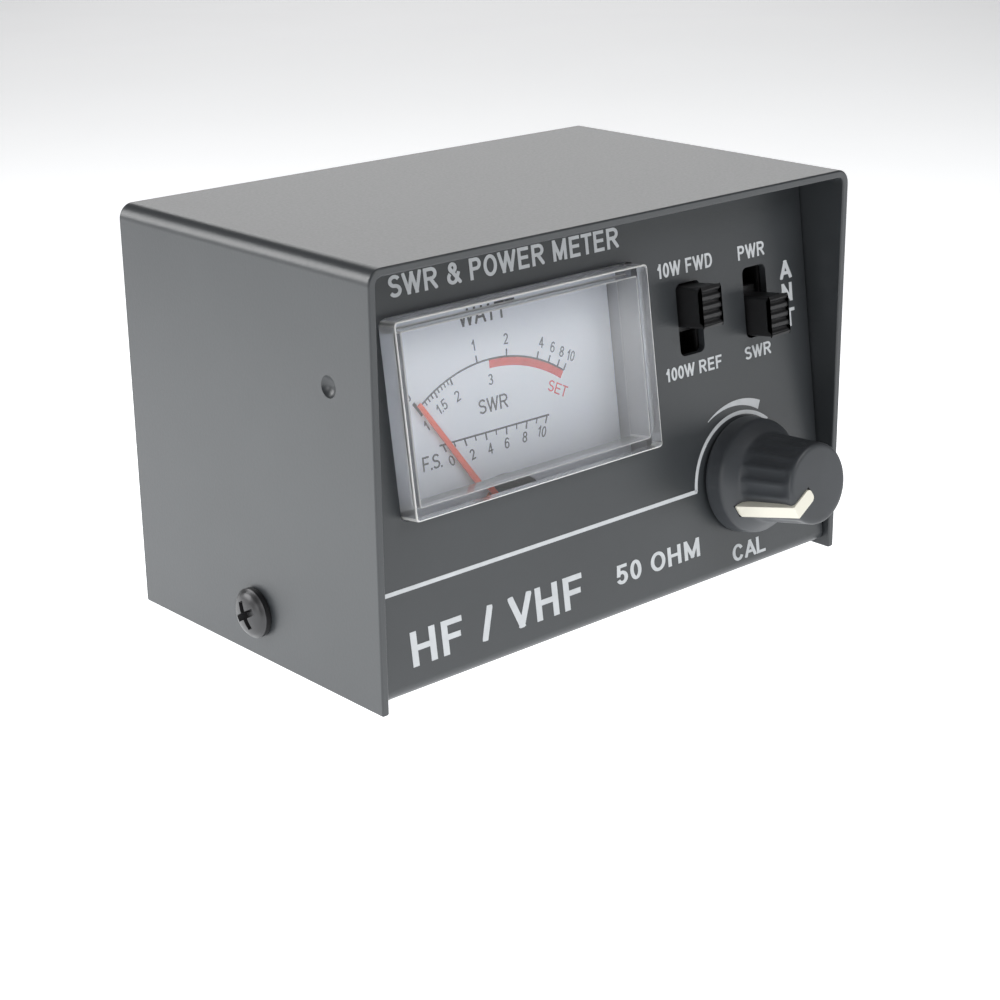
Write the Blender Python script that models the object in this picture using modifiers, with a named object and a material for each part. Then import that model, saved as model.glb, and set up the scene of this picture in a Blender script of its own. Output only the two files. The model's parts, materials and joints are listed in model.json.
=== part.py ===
"""A small SWR and power meter for the aerial lead of a radio: a bent steel case with a sloped front
panel, a moving coil meter, two slide switches, a calibration knob and two UHF sockets at the back.
Blender 4.5, metres, +Z up. The front faces -Y. The origin is the middle of the footprint, on the
surface that the feet stand on. The sizes below are in millimetres."""

import math

import bmesh
import bpy
from mathutils import Matrix, Vector

MM = 0.001
GAP = 0.3  # between pieces that touch

# Case: the cover's front edge is at y = 0 of the case frame, and its bottom edge at z = 0.
CASE_WIDTH = 94.4
CASE_HEIGHT = 62.0
CASE_DEPTH = 58.0
SHEET = 1.2
BEND_RADIUS = 2.3
CASE_TO_ORIGIN_Y = -29.35
FOOT_DROP = 1.5
FLOOR_LIFT = 1.0
PANEL_SETBACK = 0.7
PANEL_SLOPE = math.radians(7.8)
REAR_RECESS = 0.8
PANEL_TOP = 60.4
CHASSIS_HALF_WIDTH = CASE_WIDTH / 2 - SHEET - GAP

# Side screws, side dimples and the chassis tabs that the screws go into.
SIDE_SCREW_Y = 28.5
SIDE_SCREW_Z = 7.0
SCREW_HEAD_RADIUS = 3.7
SCREW_HEAD_HEIGHT = 2.2
SCREW_SHANK_RADIUS = 1.7
RECESS_SPIN = math.radians(20)
DIMPLE_Y = 9.2
DIMPLE_Z = 44.8
TAB_LENGTH = 15.0
TAB_HEIGHT = 13.0

FOOT_RADIUS = 5.0
FOOT_X = 36.0
FOOT_Y = (11.0, 47.0)

# Meter, in the panel frame: u to the right, v up the slope, h out of the panel.
WINDOW_CENTRE = (-15.6, 39.25)
WINDOW_SIZE = (47.4, 27.3)
WINDOW_PROUD = 3.0
LENS_WALL = 1.5
HOUSING_LOW = (-41.9, 5.8)
HOUSING_HIGH = (9.3, 55.2)
HOUSING_FRONT = -3.3
HOUSING_BACK = -24.0
HOUSING_WALL = 1.2
DIAL_FACE = -6.3
DIAL_THICKNESS = 0.5
DIAL_OPENING = 7.4
DIAL_SCREWS = ((-35.7, 11.0), (3.0, 11.0))
PIVOT = (-16.3, 18.8)
NEEDLE_REST = math.radians(90 + 34.5)
NEEDLE_LENGTH = 25.0
NEEDLE_FACE = -5.4
NEEDLE_THICKNESS = 0.3
CORE_RADIUS = 4.5
YOKE_INNER = 6.6
YOKE_OUTER = 8.6
TERMINALS = (("minus", -30.7), ("plus", -2.0))
TERMINAL_V = 40.0

# Switches: two slots, and the lever of each at one end of its travel.
SLOT_SIZE = (5.3, 11.0)
SLOT_V = 42.7
SLOT_U = {"forward_reflected": 19.15, "power_swr": 33.9}
LEVER_REST = {"forward_reflected": 2.0, "power_swr": -2.0}
LEVER_SIZE = (4.2, 6.3)
LEVER_PROUD = 4.6

# Calibration control.
KNOB_CENTRE = (28.05, 16.5)
KNOB_BASE = 0.5
KNOB_TOP = 15.2
SKIRT_RADIUS = 9.1
GRIP_RADIUS = (6.9, 6.2)
GRIP_BASE = 5.5
FLUTES = 18
POINTER_ANGLE = math.radians(210)
POINTER_WIDTH = 1.9
SHAFT_RADIUS = 3.0
BUSHING_RADIUS = 4.5
BOARD_FACE = -11.2
BOARD_THICKNESS = 1.6

# Rear sockets, in the rear frame: x to the right seen from behind, y up, h out of the back.
SOCKET_X = 22.0
SOCKET_Z = 31.0
FLANGE_SIZE = 25.4
FLANGE_THICKNESS = 1.6
FLANGE_HOLE = 9.1
THREAD_RADIUS = 7.94
MOUTH_RADIUS = 6.35
MOUTH_DEPTH = 5.0
SOCKET_REACH = 14.4
CONTACT_RADIUS = 2.6
COUPLER_FACE = -10.7


# ---------------------------------------------------------------- scene and materials

for old in list(bpy.data.objects):
    bpy.data.objects.remove(old)

METER = bpy.data.collections.new("swr_meter")
CUTTERS = bpy.data.collections.new("cutters")
for group in (METER, CUTTERS):
    bpy.context.scene.collection.children.link(group)


def finish(name, colour, roughness, metallic=0.0, transmission=0.0):
    material = bpy.data.materials.new(name)
    material.use_nodes = True
    shader = material.node_tree.nodes["Principled BSDF"]
    shader.inputs["Base Color"].default_value = (*colour, 1)
    shader.inputs["Roughness"].default_value = roughness
    shader.inputs["Metallic"].default_value = metallic
    shader.inputs["Transmission Weight"].default_value = transmission
    return material


PAINT = finish("charcoal_paint", (0.045, 0.048, 0.05), 0.5)
BLACK_STEEL = finish("black_steel", (0.01, 0.01, 0.011), 0.35, 0.8)
RUBBER = finish("black_rubber", (0.015, 0.015, 0.015), 0.85)
CLEAR = finish("clear_acrylic", (0.95, 0.97, 0.98), 0.05, 0.0, 1.0)
GREY_PLASTIC = finish("grey_plastic", (0.3, 0.31, 0.33), 0.5)
BLACK_PLASTIC = finish("black_plastic", (0.012, 0.012, 0.014), 0.42)
CREAM_PLASTIC = finish("cream_plastic", (0.85, 0.82, 0.7), 0.45)
DIAL_WHITE = finish("dial_white", (0.75, 0.77, 0.82), 0.6)
NEEDLE_RED = finish("needle_red", (0.8, 0.06, 0.03), 0.45)
STEEL = finish("plain_steel", (0.45, 0.45, 0.46), 0.35, 1.0)
NICKEL = finish("nickel_plate", (0.62, 0.6, 0.56), 0.25, 1.0)
BRASS = finish("brass", (0.72, 0.52, 0.22), 0.3, 1.0)
COPPER = finish("copper", (0.75, 0.34, 0.2), 0.35, 1.0)
BOARD = finish("phenolic_board", (0.35, 0.2, 0.08), 0.6)
PTFE = finish("white_insulator", (0.85, 0.85, 0.82), 0.5)
GLASS = finish("diode_glass", (0.75, 0.35, 0.15), 0.1, 0.0, 0.6)
MAGNET = finish("magnet", (0.12, 0.12, 0.13), 0.5, 0.7)


def frame(name, parent, location, rotation=(0, 0, 0)):
    """An empty that a group of pieces is placed by."""
    empty = bpy.data.objects.new(name, None)
    empty.parent = parent
    empty.location = Vector(location) * MM
    empty.rotation_euler = rotation
    METER.objects.link(empty)
    return empty


CASE = frame("case_frame", None, (0, CASE_TO_ORIGIN_Y, FOOT_DROP))
PANEL = frame("panel_frame", CASE, (0, PANEL_SETBACK, 0), (math.pi / 2 - PANEL_SLOPE, 0, 0))
REAR = frame("rear_frame", CASE, (0, CASE_DEPTH - REAR_RECESS, 0), (math.pi / 2, 0, math.pi))
PIVOT_FRAME = frame("pivot_frame", PANEL, (*PIVOT, 0), (0, 0, NEEDLE_REST))
KNOB_FRAME = frame("knob_frame", PANEL, (*KNOB_CENTRE, 0), (0, 0, POINTER_ANGLE))


# ---------------------------------------------------------------- shape tools, in millimetres


def as_object(name, mesh, parent, material=None):
    """A piece of the meter, or a cutter when it has no material."""
    obj = bpy.data.objects.new(name, mesh)
    obj.parent = parent
    if material:
        mesh.materials.append(material)
        METER.objects.link(obj)
    else:
        obj.hide_render = True
        obj.display_type = "WIRE"
        CUTTERS.objects.link(obj)
    return obj


def to_mesh(name, shape, smooth=True):
    mesh = bpy.data.meshes.new(name)
    shape.to_mesh(mesh)
    shape.free()
    if smooth:
        mesh.shade_smooth()
        mesh.set_sharp_from_angle(angle=math.radians(35))
    return mesh


def add_box(shape, low, high):
    low = Vector(low) * MM
    high = Vector(high) * MM
    place = Matrix.LocRotScale((low + high) / 2, None, high - low)
    bmesh.ops.create_cube(shape, size=1.0, matrix=place)


def box(name, low, high, parent, material=None):
    shape = bmesh.new()
    add_box(shape, low, high)
    return as_object(name, to_mesh(name, shape, smooth=False), parent, material)


AXES = {"Z": Matrix(), "X": Matrix.Rotation(math.pi / 2, 4, "Y"), "Y": Matrix.Rotation(-math.pi / 2, 4, "X")}


def add_rod(shape, centre, radius, low, high, axis="Z", sides=24, end_radius=None):
    """A cylinder or cone from low to high along an axis; centre is where the axis stands."""
    if end_radius is None:
        end_radius = radius
    middle = Matrix.Translation((0, 0, (low + high) / 2 * MM))
    place = Matrix.Translation(Vector(centre) * MM) @ AXES[axis] @ middle
    bmesh.ops.create_cone(
        shape,
        cap_ends=True,
        segments=sides,
        radius1=radius * MM,
        radius2=end_radius * MM,
        depth=(high - low) * MM,
        matrix=place,
    )


def rod(name, centre, radius, low, high, parent, material=None, **options):
    shape = bmesh.new()
    add_rod(shape, centre, radius, low, high, **options)
    return as_object(name, to_mesh(name, shape), parent, material)


def turned(name, profile, parent, material=None, sides=32, location=(0, 0, 0), rotation=(0, 0, 0)):
    """A profile of (radius, height) points, top first, turned about the local Z axis."""
    shape = bmesh.new()
    points = [shape.verts.new((radius * MM, 0, height * MM)) for radius, height in profile]
    for start, end in zip(points, points[1:]):
        shape.edges.new((start, end))
    if profile[0][0] > 0:
        shape.edges.new((points[-1], points[0]))
    obj = as_object(name, to_mesh(name, shape, smooth=False), parent, material)
    obj.location = Vector(location) * MM
    obj.rotation_euler = rotation
    screw = obj.modifiers.new("turn", "SCREW")
    screw.steps = sides
    screw.render_steps = sides
    screw.use_merge_vertices = True
    screw.merge_threshold = 1e-6
    screw.use_smooth_shade = True
    return obj


def rounded(corners, radius, steps=3, closed=True):
    """The line through these corners, each turned by an arc of this radius."""
    points = []
    last = len(corners) - 1
    for index, corner in enumerate(corners):
        if not closed and index in (0, last):
            points.append(tuple(corner))
            continue
        here = Vector(corner)
        before = (Vector(corners[index - 1]) - here).normalized()
        after = (Vector(corners[(index + 1) % (last + 1)]) - here).normalized()
        half = before.angle(after) / 2
        centre = here + (before + after).normalized() * radius / math.sin(half)
        start = here + before * radius / math.tan(half) - centre
        end = here + after * radius / math.tan(half) - centre
        turn = math.pi - 2 * half
        for step in range(steps + 1):
            part = step / steps
            weight = math.sin((1 - part) * turn), math.sin(part * turn)
            offset = (start * weight[0] + end * weight[1]) / math.sin(turn)
            points.append(tuple(centre + offset))
    return points


def rectangle(centre, size, radius=0.0):
    half_width, half_height = size[0] / 2, size[1] / 2
    signs = ((-1, -1), (1, -1), (1, 1), (-1, 1))
    corners = [(centre[0] + a * half_width, centre[1] + b * half_height) for a, b in signs]
    return rounded(corners, radius) if radius else corners


def circle(centre, radius, sides=24):
    angles = [2 * math.pi * step / sides for step in range(sides)]
    return [(centre[0] + radius * math.cos(a), centre[1] + radius * math.sin(a)) for a in angles]


def slab(name, outlines, low, high, parent, material=None, location=(0, 0, 0), rotation=(0, 0, 0)):
    """A flat piece from low to high along Z: the first outline, with the others as holes."""
    curve = bpy.data.curves.new(name, "CURVE")
    curve.dimensions = "2D"
    curve.fill_mode = "BOTH"
    curve.extrude = (high - low) / 2 * MM
    for outline in outlines:
        spline = curve.splines.new("POLY")
        spline.points.add(len(outline) - 1)
        spline.use_cyclic_u = True
        for point, (x, y) in zip(spline.points, outline):
            point.co = (x * MM, y * MM, 0, 1)
    guide = bpy.data.objects.new(name + "_outline", curve)
    bpy.context.scene.collection.objects.link(guide)
    bpy.context.view_layer.update()
    mesh = bpy.data.meshes.new_from_object(guide.evaluated_get(bpy.context.evaluated_depsgraph_get()))
    bpy.data.objects.remove(guide)
    shape = bmesh.new()
    shape.from_mesh(mesh)
    bpy.data.meshes.remove(mesh)
    bmesh.ops.remove_doubles(shape, verts=shape.verts, dist=1e-6)
    bmesh.ops.recalc_face_normals(shape, faces=shape.faces)
    bmesh.ops.translate(shape, verts=shape.verts, vec=(0, 0, (low + high) / 2 * MM))
    obj = as_object(name, to_mesh(name, shape), parent, material)
    obj.location = Vector(location) * MM
    obj.rotation_euler = rotation
    return obj


def bent_sheet(name, profile, sweep, parent, material):
    """Sheet metal bent along an open profile of 3-D points, as wide as the sweep vector is long."""
    shape = bmesh.new()
    points = [shape.verts.new(Vector(point) * MM) for point in profile]
    edges = [shape.edges.new(pair) for pair in zip(points, points[1:])]
    swept = bmesh.ops.extrude_edge_only(shape, edges=edges)["geom"]
    moved = [item for item in swept if isinstance(item, bmesh.types.BMVert)]
    bmesh.ops.translate(shape, verts=moved, vec=Vector(sweep) * MM)
    shape.normal_update()
    middle = sum((vert.co for vert in shape.verts), Vector()) / len(shape.verts)
    shape.faces.ensure_lookup_table()
    face = shape.faces[0]
    if face.normal.dot(face.calc_center_median() - middle) < 0:
        bmesh.ops.reverse_faces(shape, faces=shape.faces)
    obj = as_object(name, to_mesh(name, shape), parent, material)
    solid = obj.modifiers.new("sheet", "SOLIDIFY")
    solid.thickness = SHEET * MM
    solid.offset = -1
    solid.use_even_offset = True
    return obj


def change(obj, tool, operation="DIFFERENCE"):
    modifier = obj.modifiers.new(tool.name, "BOOLEAN")
    modifier.operation = operation
    modifier.object = tool


def soften(obj, width):
    bevel = obj.modifiers.new("edges", "BEVEL")
    bevel.width = width * MM
    bevel.segments = 1
    bevel.limit_method = "ANGLE"
    bevel.angle_limit = math.radians(50)


# ---------------------------------------------------------------- case


def make_cover():
    half = CASE_WIDTH / 2
    corners = [(-half, 0), (-half, CASE_HEIGHT), (half, CASE_HEIGHT), (half, 0)]
    profile = [(x, 0, z) for x, z in rounded(corners, BEND_RADIUS, closed=False)]
    cover = bent_sheet("top_cover", profile, (0, CASE_DEPTH, 0), CASE, PAINT)
    soften(cover, 0.2)
    hole = (0, SIDE_SCREW_Y, SIDE_SCREW_Z)
    change(cover, rod("side_screw_holes", hole, SCREW_SHANK_RADIUS + GAP, -60, 60, CASE, axis="X"))
    for side, sign in (("left", -1), ("right", 1)):
        bump = bmesh.new()
        inner = Matrix.Translation(Vector((sign * (half - 0.45), DIMPLE_Y, DIMPLE_Z)) * MM)
        bmesh.ops.create_uvsphere(bump, u_segments=12, v_segments=8, radius=1.25 * MM, matrix=inner)
        dent = bmesh.new()
        outer = Matrix.Translation(Vector((sign * (half + 1.2), DIMPLE_Y, DIMPLE_Z)) * MM)
        bmesh.ops.create_uvsphere(dent, u_segments=16, v_segments=12, radius=2.0 * MM, matrix=outer)
        change(cover, as_object(f"dimple_bump_{side}", to_mesh("bump", bump), CASE), "UNION")
        change(cover, as_object(f"dimple_dent_{side}", to_mesh("dent", dent), CASE))
    jack_y, jack_z = panel_to_case(FIELD_JACK_V, FIELD_JACK_H)
    jack_hole = rod("field_jack_hole", (0, jack_y, jack_z), 3.0, 40, 60, CASE, axis="X")
    change(cover, jack_hole)


def panel_to_case(v, h):
    """The y and z in the case frame of a place in the panel frame."""
    y = PANEL_SETBACK + v * math.sin(PANEL_SLOPE) - h * math.cos(PANEL_SLOPE)
    return y, v * math.cos(PANEL_SLOPE) + h * math.sin(PANEL_SLOPE)


def make_chassis():
    top = panel_to_case(PANEL_TOP, 0)
    front_corner = panel_to_case(FLOOR_LIFT / math.cos(PANEL_SLOPE), 0)
    rear = CASE_DEPTH - REAR_RECESS
    corners = [top, front_corner, (rear, FLOOR_LIFT), (rear, top[1])]
    line = rounded(corners, SHEET + 0.4, closed=False)
    profile = [(-CHASSIS_HALF_WIDTH, y, z) for y, z in line]
    chassis = bent_sheet("chassis", profile, (2 * CHASSIS_HALF_WIDTH, 0, 0), CASE, PAINT)
    tabs = bmesh.new()
    for sign in (-1, 1):
        reach = sorted((sign * (CHASSIS_HALF_WIDTH - SHEET), sign * (CHASSIS_HALF_WIDTH - 0.05)))
        low = (reach[0], SIDE_SCREW_Y - TAB_LENGTH / 2, FLOOR_LIFT + SHEET / 2)
        high = (reach[1], SIDE_SCREW_Y + TAB_LENGTH / 2, TAB_HEIGHT)
        add_box(tabs, low, high)
    change(chassis, as_object("side_tabs", to_mesh("tabs", tabs, smooth=False), CASE), "UNION")
    through = -SHEET * 2, SHEET * 2
    cut_size = WINDOW_SIZE[0] + 2 * GAP, WINDOW_SIZE[1] + 2 * GAP
    window = slab("window_cutout", [rectangle(WINDOW_CENTRE, cut_size, 0.9)], *through, PANEL)
    change(chassis, window)
    for name, u in SLOT_U.items():
        outline = rectangle((u, SLOT_V), SLOT_SIZE, 1.0)
        change(chassis, slab(f"{name}_slot", [outline], *through, PANEL))
    holes = bmesh.new()
    add_rod(holes, (*KNOB_CENTRE, 0), BUSHING_RADIUS + GAP, *through)
    change(chassis, as_object("bushing_hole", to_mesh("bushing_hole", holes), PANEL))
    tab_hole = (0, SIDE_SCREW_Y, SIDE_SCREW_Z)
    change(chassis, rod("tab_holes", tab_hole, SCREW_SHANK_RADIUS + GAP, -50, 50, CASE, axis="X"))
    rear_holes = bmesh.new()
    for x in (-SOCKET_X, SOCKET_X):
        add_rod(rear_holes, (x, SOCKET_Z, 0), MOUTH_RADIUS, *through)
        for sign in (-1, 1):
            place = (x + sign * FLANGE_HOLE, SOCKET_Z + sign * FLANGE_HOLE, 0)
            add_rod(rear_holes, place, 1.5 + GAP, *through, sides=16)
    change(chassis, as_object("rear_holes", to_mesh("rear_holes", rear_holes), REAR))


def make_screw(name, parent, location, rotation, head, head_height, shank, length, material, sides=16):
    """A pan head screw with a cross recess; its head stands on the local Z = 0 plane."""
    lip = head_height * 0.35
    profile = [(0, head_height), (head * 0.5, head_height * 0.94), (head * 0.86, head_height * 0.7)]
    profile += [(head, lip), (head, 0), (shank, 0), (shank, 0.6 - length), (0, -length)]
    screw = turned(name, profile, parent, material, sides, location, rotation)
    arm, width = head * 0.58, head * 0.15
    half = [(arm, -width), (arm, width), (width, width), (width, arm), (-width, arm), (-width, width)]
    spin = Matrix.Rotation(RECESS_SPIN, 2)
    cross = [tuple(spin @ Vector(point)) for point in half + [(-x, -y) for x, y in half]]
    recess = slab(f"{name}_recess", [cross], head_height * 0.4, head_height + 1, parent)
    recess.location = screw.location
    recess.rotation_euler = rotation
    change(screw, recess)


def make_case_fasteners():
    for side, sign in (("left", -1), ("right", 1)):
        place = (sign * (CASE_WIDTH / 2 + 0.15), SIDE_SCREW_Y, SIDE_SCREW_Z)
        turn = (0, sign * math.pi / 2, 0)
        make_screw(
            f"cover_screw_{side}", CASE, place, turn, SCREW_HEAD_RADIUS, SCREW_HEAD_HEIGHT,
            SCREW_SHANK_RADIUS, 5.5, BLACK_STEEL, 24,
        )
    profile = [(0, 0), (FOOT_RADIUS, 0), (FOOT_RADIUS, -0.5), (FOOT_RADIUS - 0.7, -1.9)]
    profile += [(FOOT_RADIUS - 1.1, -FOOT_DROP - FLOOR_LIFT + GAP), (0, -FOOT_DROP - FLOOR_LIFT + GAP)]
    for end, y in zip(("front", "rear"), FOOT_Y):
        for side, sign in (("left", -1), ("right", 1)):
            place = (sign * FOOT_X, y, FLOOR_LIFT - GAP)
            turned(f"foot_{end}_{side}", profile, CASE, RUBBER, 24, place)


# ---------------------------------------------------------------- meter


def make_lens():
    outline = rectangle(WINDOW_CENTRE, WINDOW_SIZE, 0.6)
    centre = [(a + b) / 2 for a, b in zip(HOUSING_LOW, HOUSING_HIGH)]
    size = [b - a for a, b in zip(HOUSING_LOW, HOUSING_HIGH)]
    lens = slab("meter_lens", [rectangle(centre, size, 1.5)], -3.0, -SHEET - GAP, PANEL, CLEAR)
    change(lens, slab("lens_window", [outline], -2.5, WINDOW_PROUD, PANEL), "UNION")
    inside = [side - 2 * LENS_WALL for side in WINDOW_SIZE]
    hollow = rectangle(WINDOW_CENTRE, inside, 0.3)
    change(lens, slab("lens_hollow", [hollow], -5.0, WINDOW_PROUD - LENS_WALL, PANEL))


def make_housing():
    low = (*HOUSING_LOW, HOUSING_BACK)
    housing = box("meter_housing", low, (*HOUSING_HIGH, HOUSING_FRONT), PANEL, GREY_PLASTIC)
    floor = HOUSING_BACK + 1.5
    inner_low = (HOUSING_LOW[0] + HOUSING_WALL, HOUSING_LOW[1] + HOUSING_WALL, floor)
    inner_high = (HOUSING_HIGH[0] - HOUSING_WALL, HOUSING_HIGH[1] - HOUSING_WALL, 0)
    change(housing, box("housing_hollow", inner_low, inner_high, PANEL))
    bosses = bmesh.new()
    for u, v in DIAL_SCREWS:
        add_rod(bosses, (u, v, 0), 2.2, floor - 0.5, DIAL_FACE - DIAL_THICKNESS - GAP, sides=16)
    change(housing, as_object("dial_bosses", to_mesh("bosses", bosses), PANEL), "UNION")
    seat = slab(
        "yoke_seat", [circle(PIVOT, YOKE_OUTER), circle(PIVOT, YOKE_INNER)], floor - 0.5, -17.8, PANEL
    )
    change(housing, seat, "UNION")
    holes = bmesh.new()
    for u, v in DIAL_SCREWS:
        add_rod(holes, (u, v, 0), 1.1, -14.0, 0, sides=12)
    for _, u in TERMINALS:
        add_rod(holes, (u, TERMINAL_V, 0), 1.5 + GAP, HOUSING_BACK - 1, floor + 1, sides=16)
    change(housing, as_object("housing_holes", to_mesh("holes", holes), PANEL))


def make_dial():
    back = DIAL_FACE - DIAL_THICKNESS
    clear = HOUSING_WALL + GAP
    low = [side + clear for side in HOUSING_LOW]
    high = [side - clear for side in HOUSING_HIGH]
    dial = box("dial_plate", (*low, back), (*high, DIAL_FACE), PANEL, DIAL_WHITE)
    cuts = bmesh.new()
    add_rod(cuts, (*PIVOT, 0), DIAL_OPENING, back - 1, DIAL_FACE + 1, sides=48)
    for u, v in DIAL_SCREWS:
        add_rod(cuts, (u, v, 0), 1.1, back - 1, DIAL_FACE + 1, sides=12)
    change(dial, as_object("dial_cuts", to_mesh("cuts", cuts), PANEL))
    for side, (u, v) in zip(("left", "right"), DIAL_SCREWS):
        place = (u, v, DIAL_FACE + 0.15)
        make_screw(f"dial_screw_{side}", PANEL, place, (0, 0, 0), 1.9, 1.1, 0.8, 6.0, STEEL)


def make_needle():
    """The pointer lies along the pivot frame's X axis, with a balance tail behind the hub."""
    root, tip, tail = 0.5, 0.34, -5.0
    pointer = [(NEEDLE_LENGTH, -tip), (NEEDLE_LENGTH, tip), (1.0, root), (tail, root)]
    pointer += [(tail, -root), (1.0, -root)]
    low, high = NEEDLE_FACE - NEEDLE_THICKNESS, NEEDLE_FACE
    needle = slab("needle", [pointer], low, high, PIVOT_FRAME, NEEDLE_RED)
    change(needle, rod("needle_hub", (0, 0, 0), 2.0, low, high, PIVOT_FRAME, sides=20), "UNION")
    change(needle, box("needle_weight", (-4.6, -2.2, low), (-3.4, 2.2, high), PIVOT_FRAME), "UNION")
    change(needle, rod("hub_hole", (0, 0, 0), 0.8, low - 1, high + 1, PIVOT_FRAME, sides=12))


def make_movement():
    """A coil on two half staffs, turning round a fixed core inside a soft iron ring."""
    coil = box("moving_coil", (-5.9, -1.2, -18.4), (5.9, 1.2, -8.6), PIVOT_FRAME, COPPER)
    change(coil, box("coil_inside", (-5.1, -2, -17.6), (5.1, 2, -9.4), PIVOT_FRAME))
    front = [(0, -4.75), (0.5, -5.3), (0.5, -8.35), (0, -8.35)]
    turned("pivot_front", front, PIVOT_FRAME, STEEL, 12)
    rear = [(0, -18.65), (0.5, -18.65), (0.5, -20.5), (0, -21.1)]
    turned("pivot_rear", rear, PIVOT_FRAME, STEEL, 12)
    rod("core_magnet", (*PIVOT, 0), CORE_RADIUS, -17.3, -9.7, PANEL, MAGNET, sides=28)
    rings = [circle(PIVOT, YOKE_OUTER), circle(PIVOT, YOKE_INNER)]
    slab("yoke_ring", rings, -17.5, -9.5, PANEL, STEEL)
    u, v = PIVOT
    bridge_low, bridge_high, bar = -22.2, -3.6, 0.8
    bridge = box("movement_bridge", (u - 6.2, v - 1.6, bridge_low), (u + 6.2, v + 1.6, bridge_high), PANEL, BRASS)
    inner = box("bridge_inside", (u - 4.85, v - 2, bridge_low + bar), (u + 4.85, v + 2, bridge_high - bar), PANEL)
    change(bridge, inner)
    jewel_holes = rod("jewel_holes", (u, v, 0), 1.2, bridge_low - 1, bridge_high + 1, PANEL, sides=16)
    change(bridge, jewel_holes)
    rod("jewel_front", (u, v, 0), 0.95, -4.5, -3.4, PANEL, BRASS, sides=16)
    rod("jewel_rear", (u, v, 0), 0.95, -22.3, -21.35, PANEL, BRASS, sides=16)
    make_hairspring("hairspring_front", -7.4)
    make_hairspring("hairspring_rear", -19.8)


def make_hairspring(name, height):
    """A flat spiral of wire round the staff, from its collet out to the bridge."""
    turns, steps_per_turn, inner, outer = 2.5, 14, 1.0, 3.9
    count = int(turns * steps_per_turn)
    curve = bpy.data.curves.new(name, "CURVE")
    curve.dimensions = "3D"
    curve.bevel_depth = 0.12 * MM
    curve.bevel_resolution = 0
    curve.use_fill_caps = True
    spline = curve.splines.new("POLY")
    spline.points.add(count)
    for step, point in enumerate(spline.points):
        angle = 2 * math.pi * step / steps_per_turn
        radius = inner + (outer - inner) * step / count
        point.co = (radius * math.cos(angle) * MM, radius * math.sin(angle) * MM, height * MM, 1)
    curve.materials.append(BRASS)
    spring = bpy.data.objects.new(name, curve)
    spring.parent = PANEL
    spring.location = Vector((*PIVOT, 0)) * MM
    METER.objects.link(spring)


def make_terminals():
    for pole, u in TERMINALS:
        profile = [(0, -20.4), (2.8, -20.4), (2.8, -22.2), (1.5, -22.2), (1.5, -28.6), (1.1, -29.0), (0, -29.0)]
        turned(f"meter_terminal_{pole}", profile, PANEL, BRASS, 16, (u, TERMINAL_V, 0))
        outline = circle((u, TERMINAL_V), 3.1, 6)
        hole = circle((u, TERMINAL_V), 1.5 + GAP, 16)
        slab(f"terminal_nut_{pole}", [outline, hole], -26.6, -24.3, PANEL, NICKEL)


# ---------------------------------------------------------------- switches


def make_switch(name):
    u = SLOT_U[name]
    outside, wall = (8.6, 17.0), 0.5
    front, back = -SHEET - GAP, -6.5
    can = slab(f"{name}_switch_frame", [rectangle((u, SLOT_V), outside)], back, front, PANEL, STEEL)
    inside = [side - 2 * wall for side in outside]
    hollow = slab(f"{name}_can_hollow", [rectangle((u, SLOT_V), inside)], back - 1, front - wall, PANEL)
    change(can, hollow)
    window = rectangle((u, SLOT_V), (LEVER_SIZE[0] + 2 * GAP, 11.2))
    change(can, slab(f"{name}_can_window", [window], back, front + 1, PANEL))
    base_size = [side - 2 * GAP for side in inside]
    base_outline = [rectangle((u, SLOT_V), base_size)]
    base = slab(f"{name}_switch_base", base_outline, back, back + 1.1, PANEL, BLACK_PLASTIC)
    pins = bmesh.new()
    for across in (-2.2, 2.2):
        for along in (-4.0, 0.0, 4.0):
            low = (u + across - 0.2, SLOT_V + along - 0.5, BOARD_FACE + GAP)
            add_box(pins, low, (u + across + 0.2, SLOT_V + along + 0.5, back + 0.5))
    change(base, as_object(f"{name}_pins", to_mesh("pins", pins, smooth=False), PANEL), "UNION")
    make_lever(name, u, SLOT_V + LEVER_REST[name])


def make_lever(name, u, v):
    """A ribbed lever on a wider slider, which the switch's frame keeps in."""
    handle = frame(f"{name}_lever_frame", PANEL, (u, v, 0))
    width, height = LEVER_SIZE
    half_width, half_height = width / 2, height / 2
    low = (-half_width, -half_height, -3.0)
    lever = box(f"{name}_lever", low, (half_width, half_height, LEVER_PROUD), handle, BLACK_PLASTIC)
    soften(lever, 0.35)
    ribs, depth = 5, 0.55
    pitch = height / ribs
    grooves = bmesh.new()
    for index in range(1, ribs):
        middle = -half_height + index * pitch
        groove_low = (-width, middle - 0.22, LEVER_PROUD - depth)
        add_box(grooves, groove_low, (width, middle + 0.22, LEVER_PROUD + 1))
    change(lever, as_object(f"{name}_grooves", to_mesh("grooves", grooves, smooth=False), handle))
    slider = box(f"{name}_slider", (-3.4, -4.2, -4.0), (3.4, 4.2, -2.3), handle)
    change(lever, slider, "UNION")


# ---------------------------------------------------------------- calibration control


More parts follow.
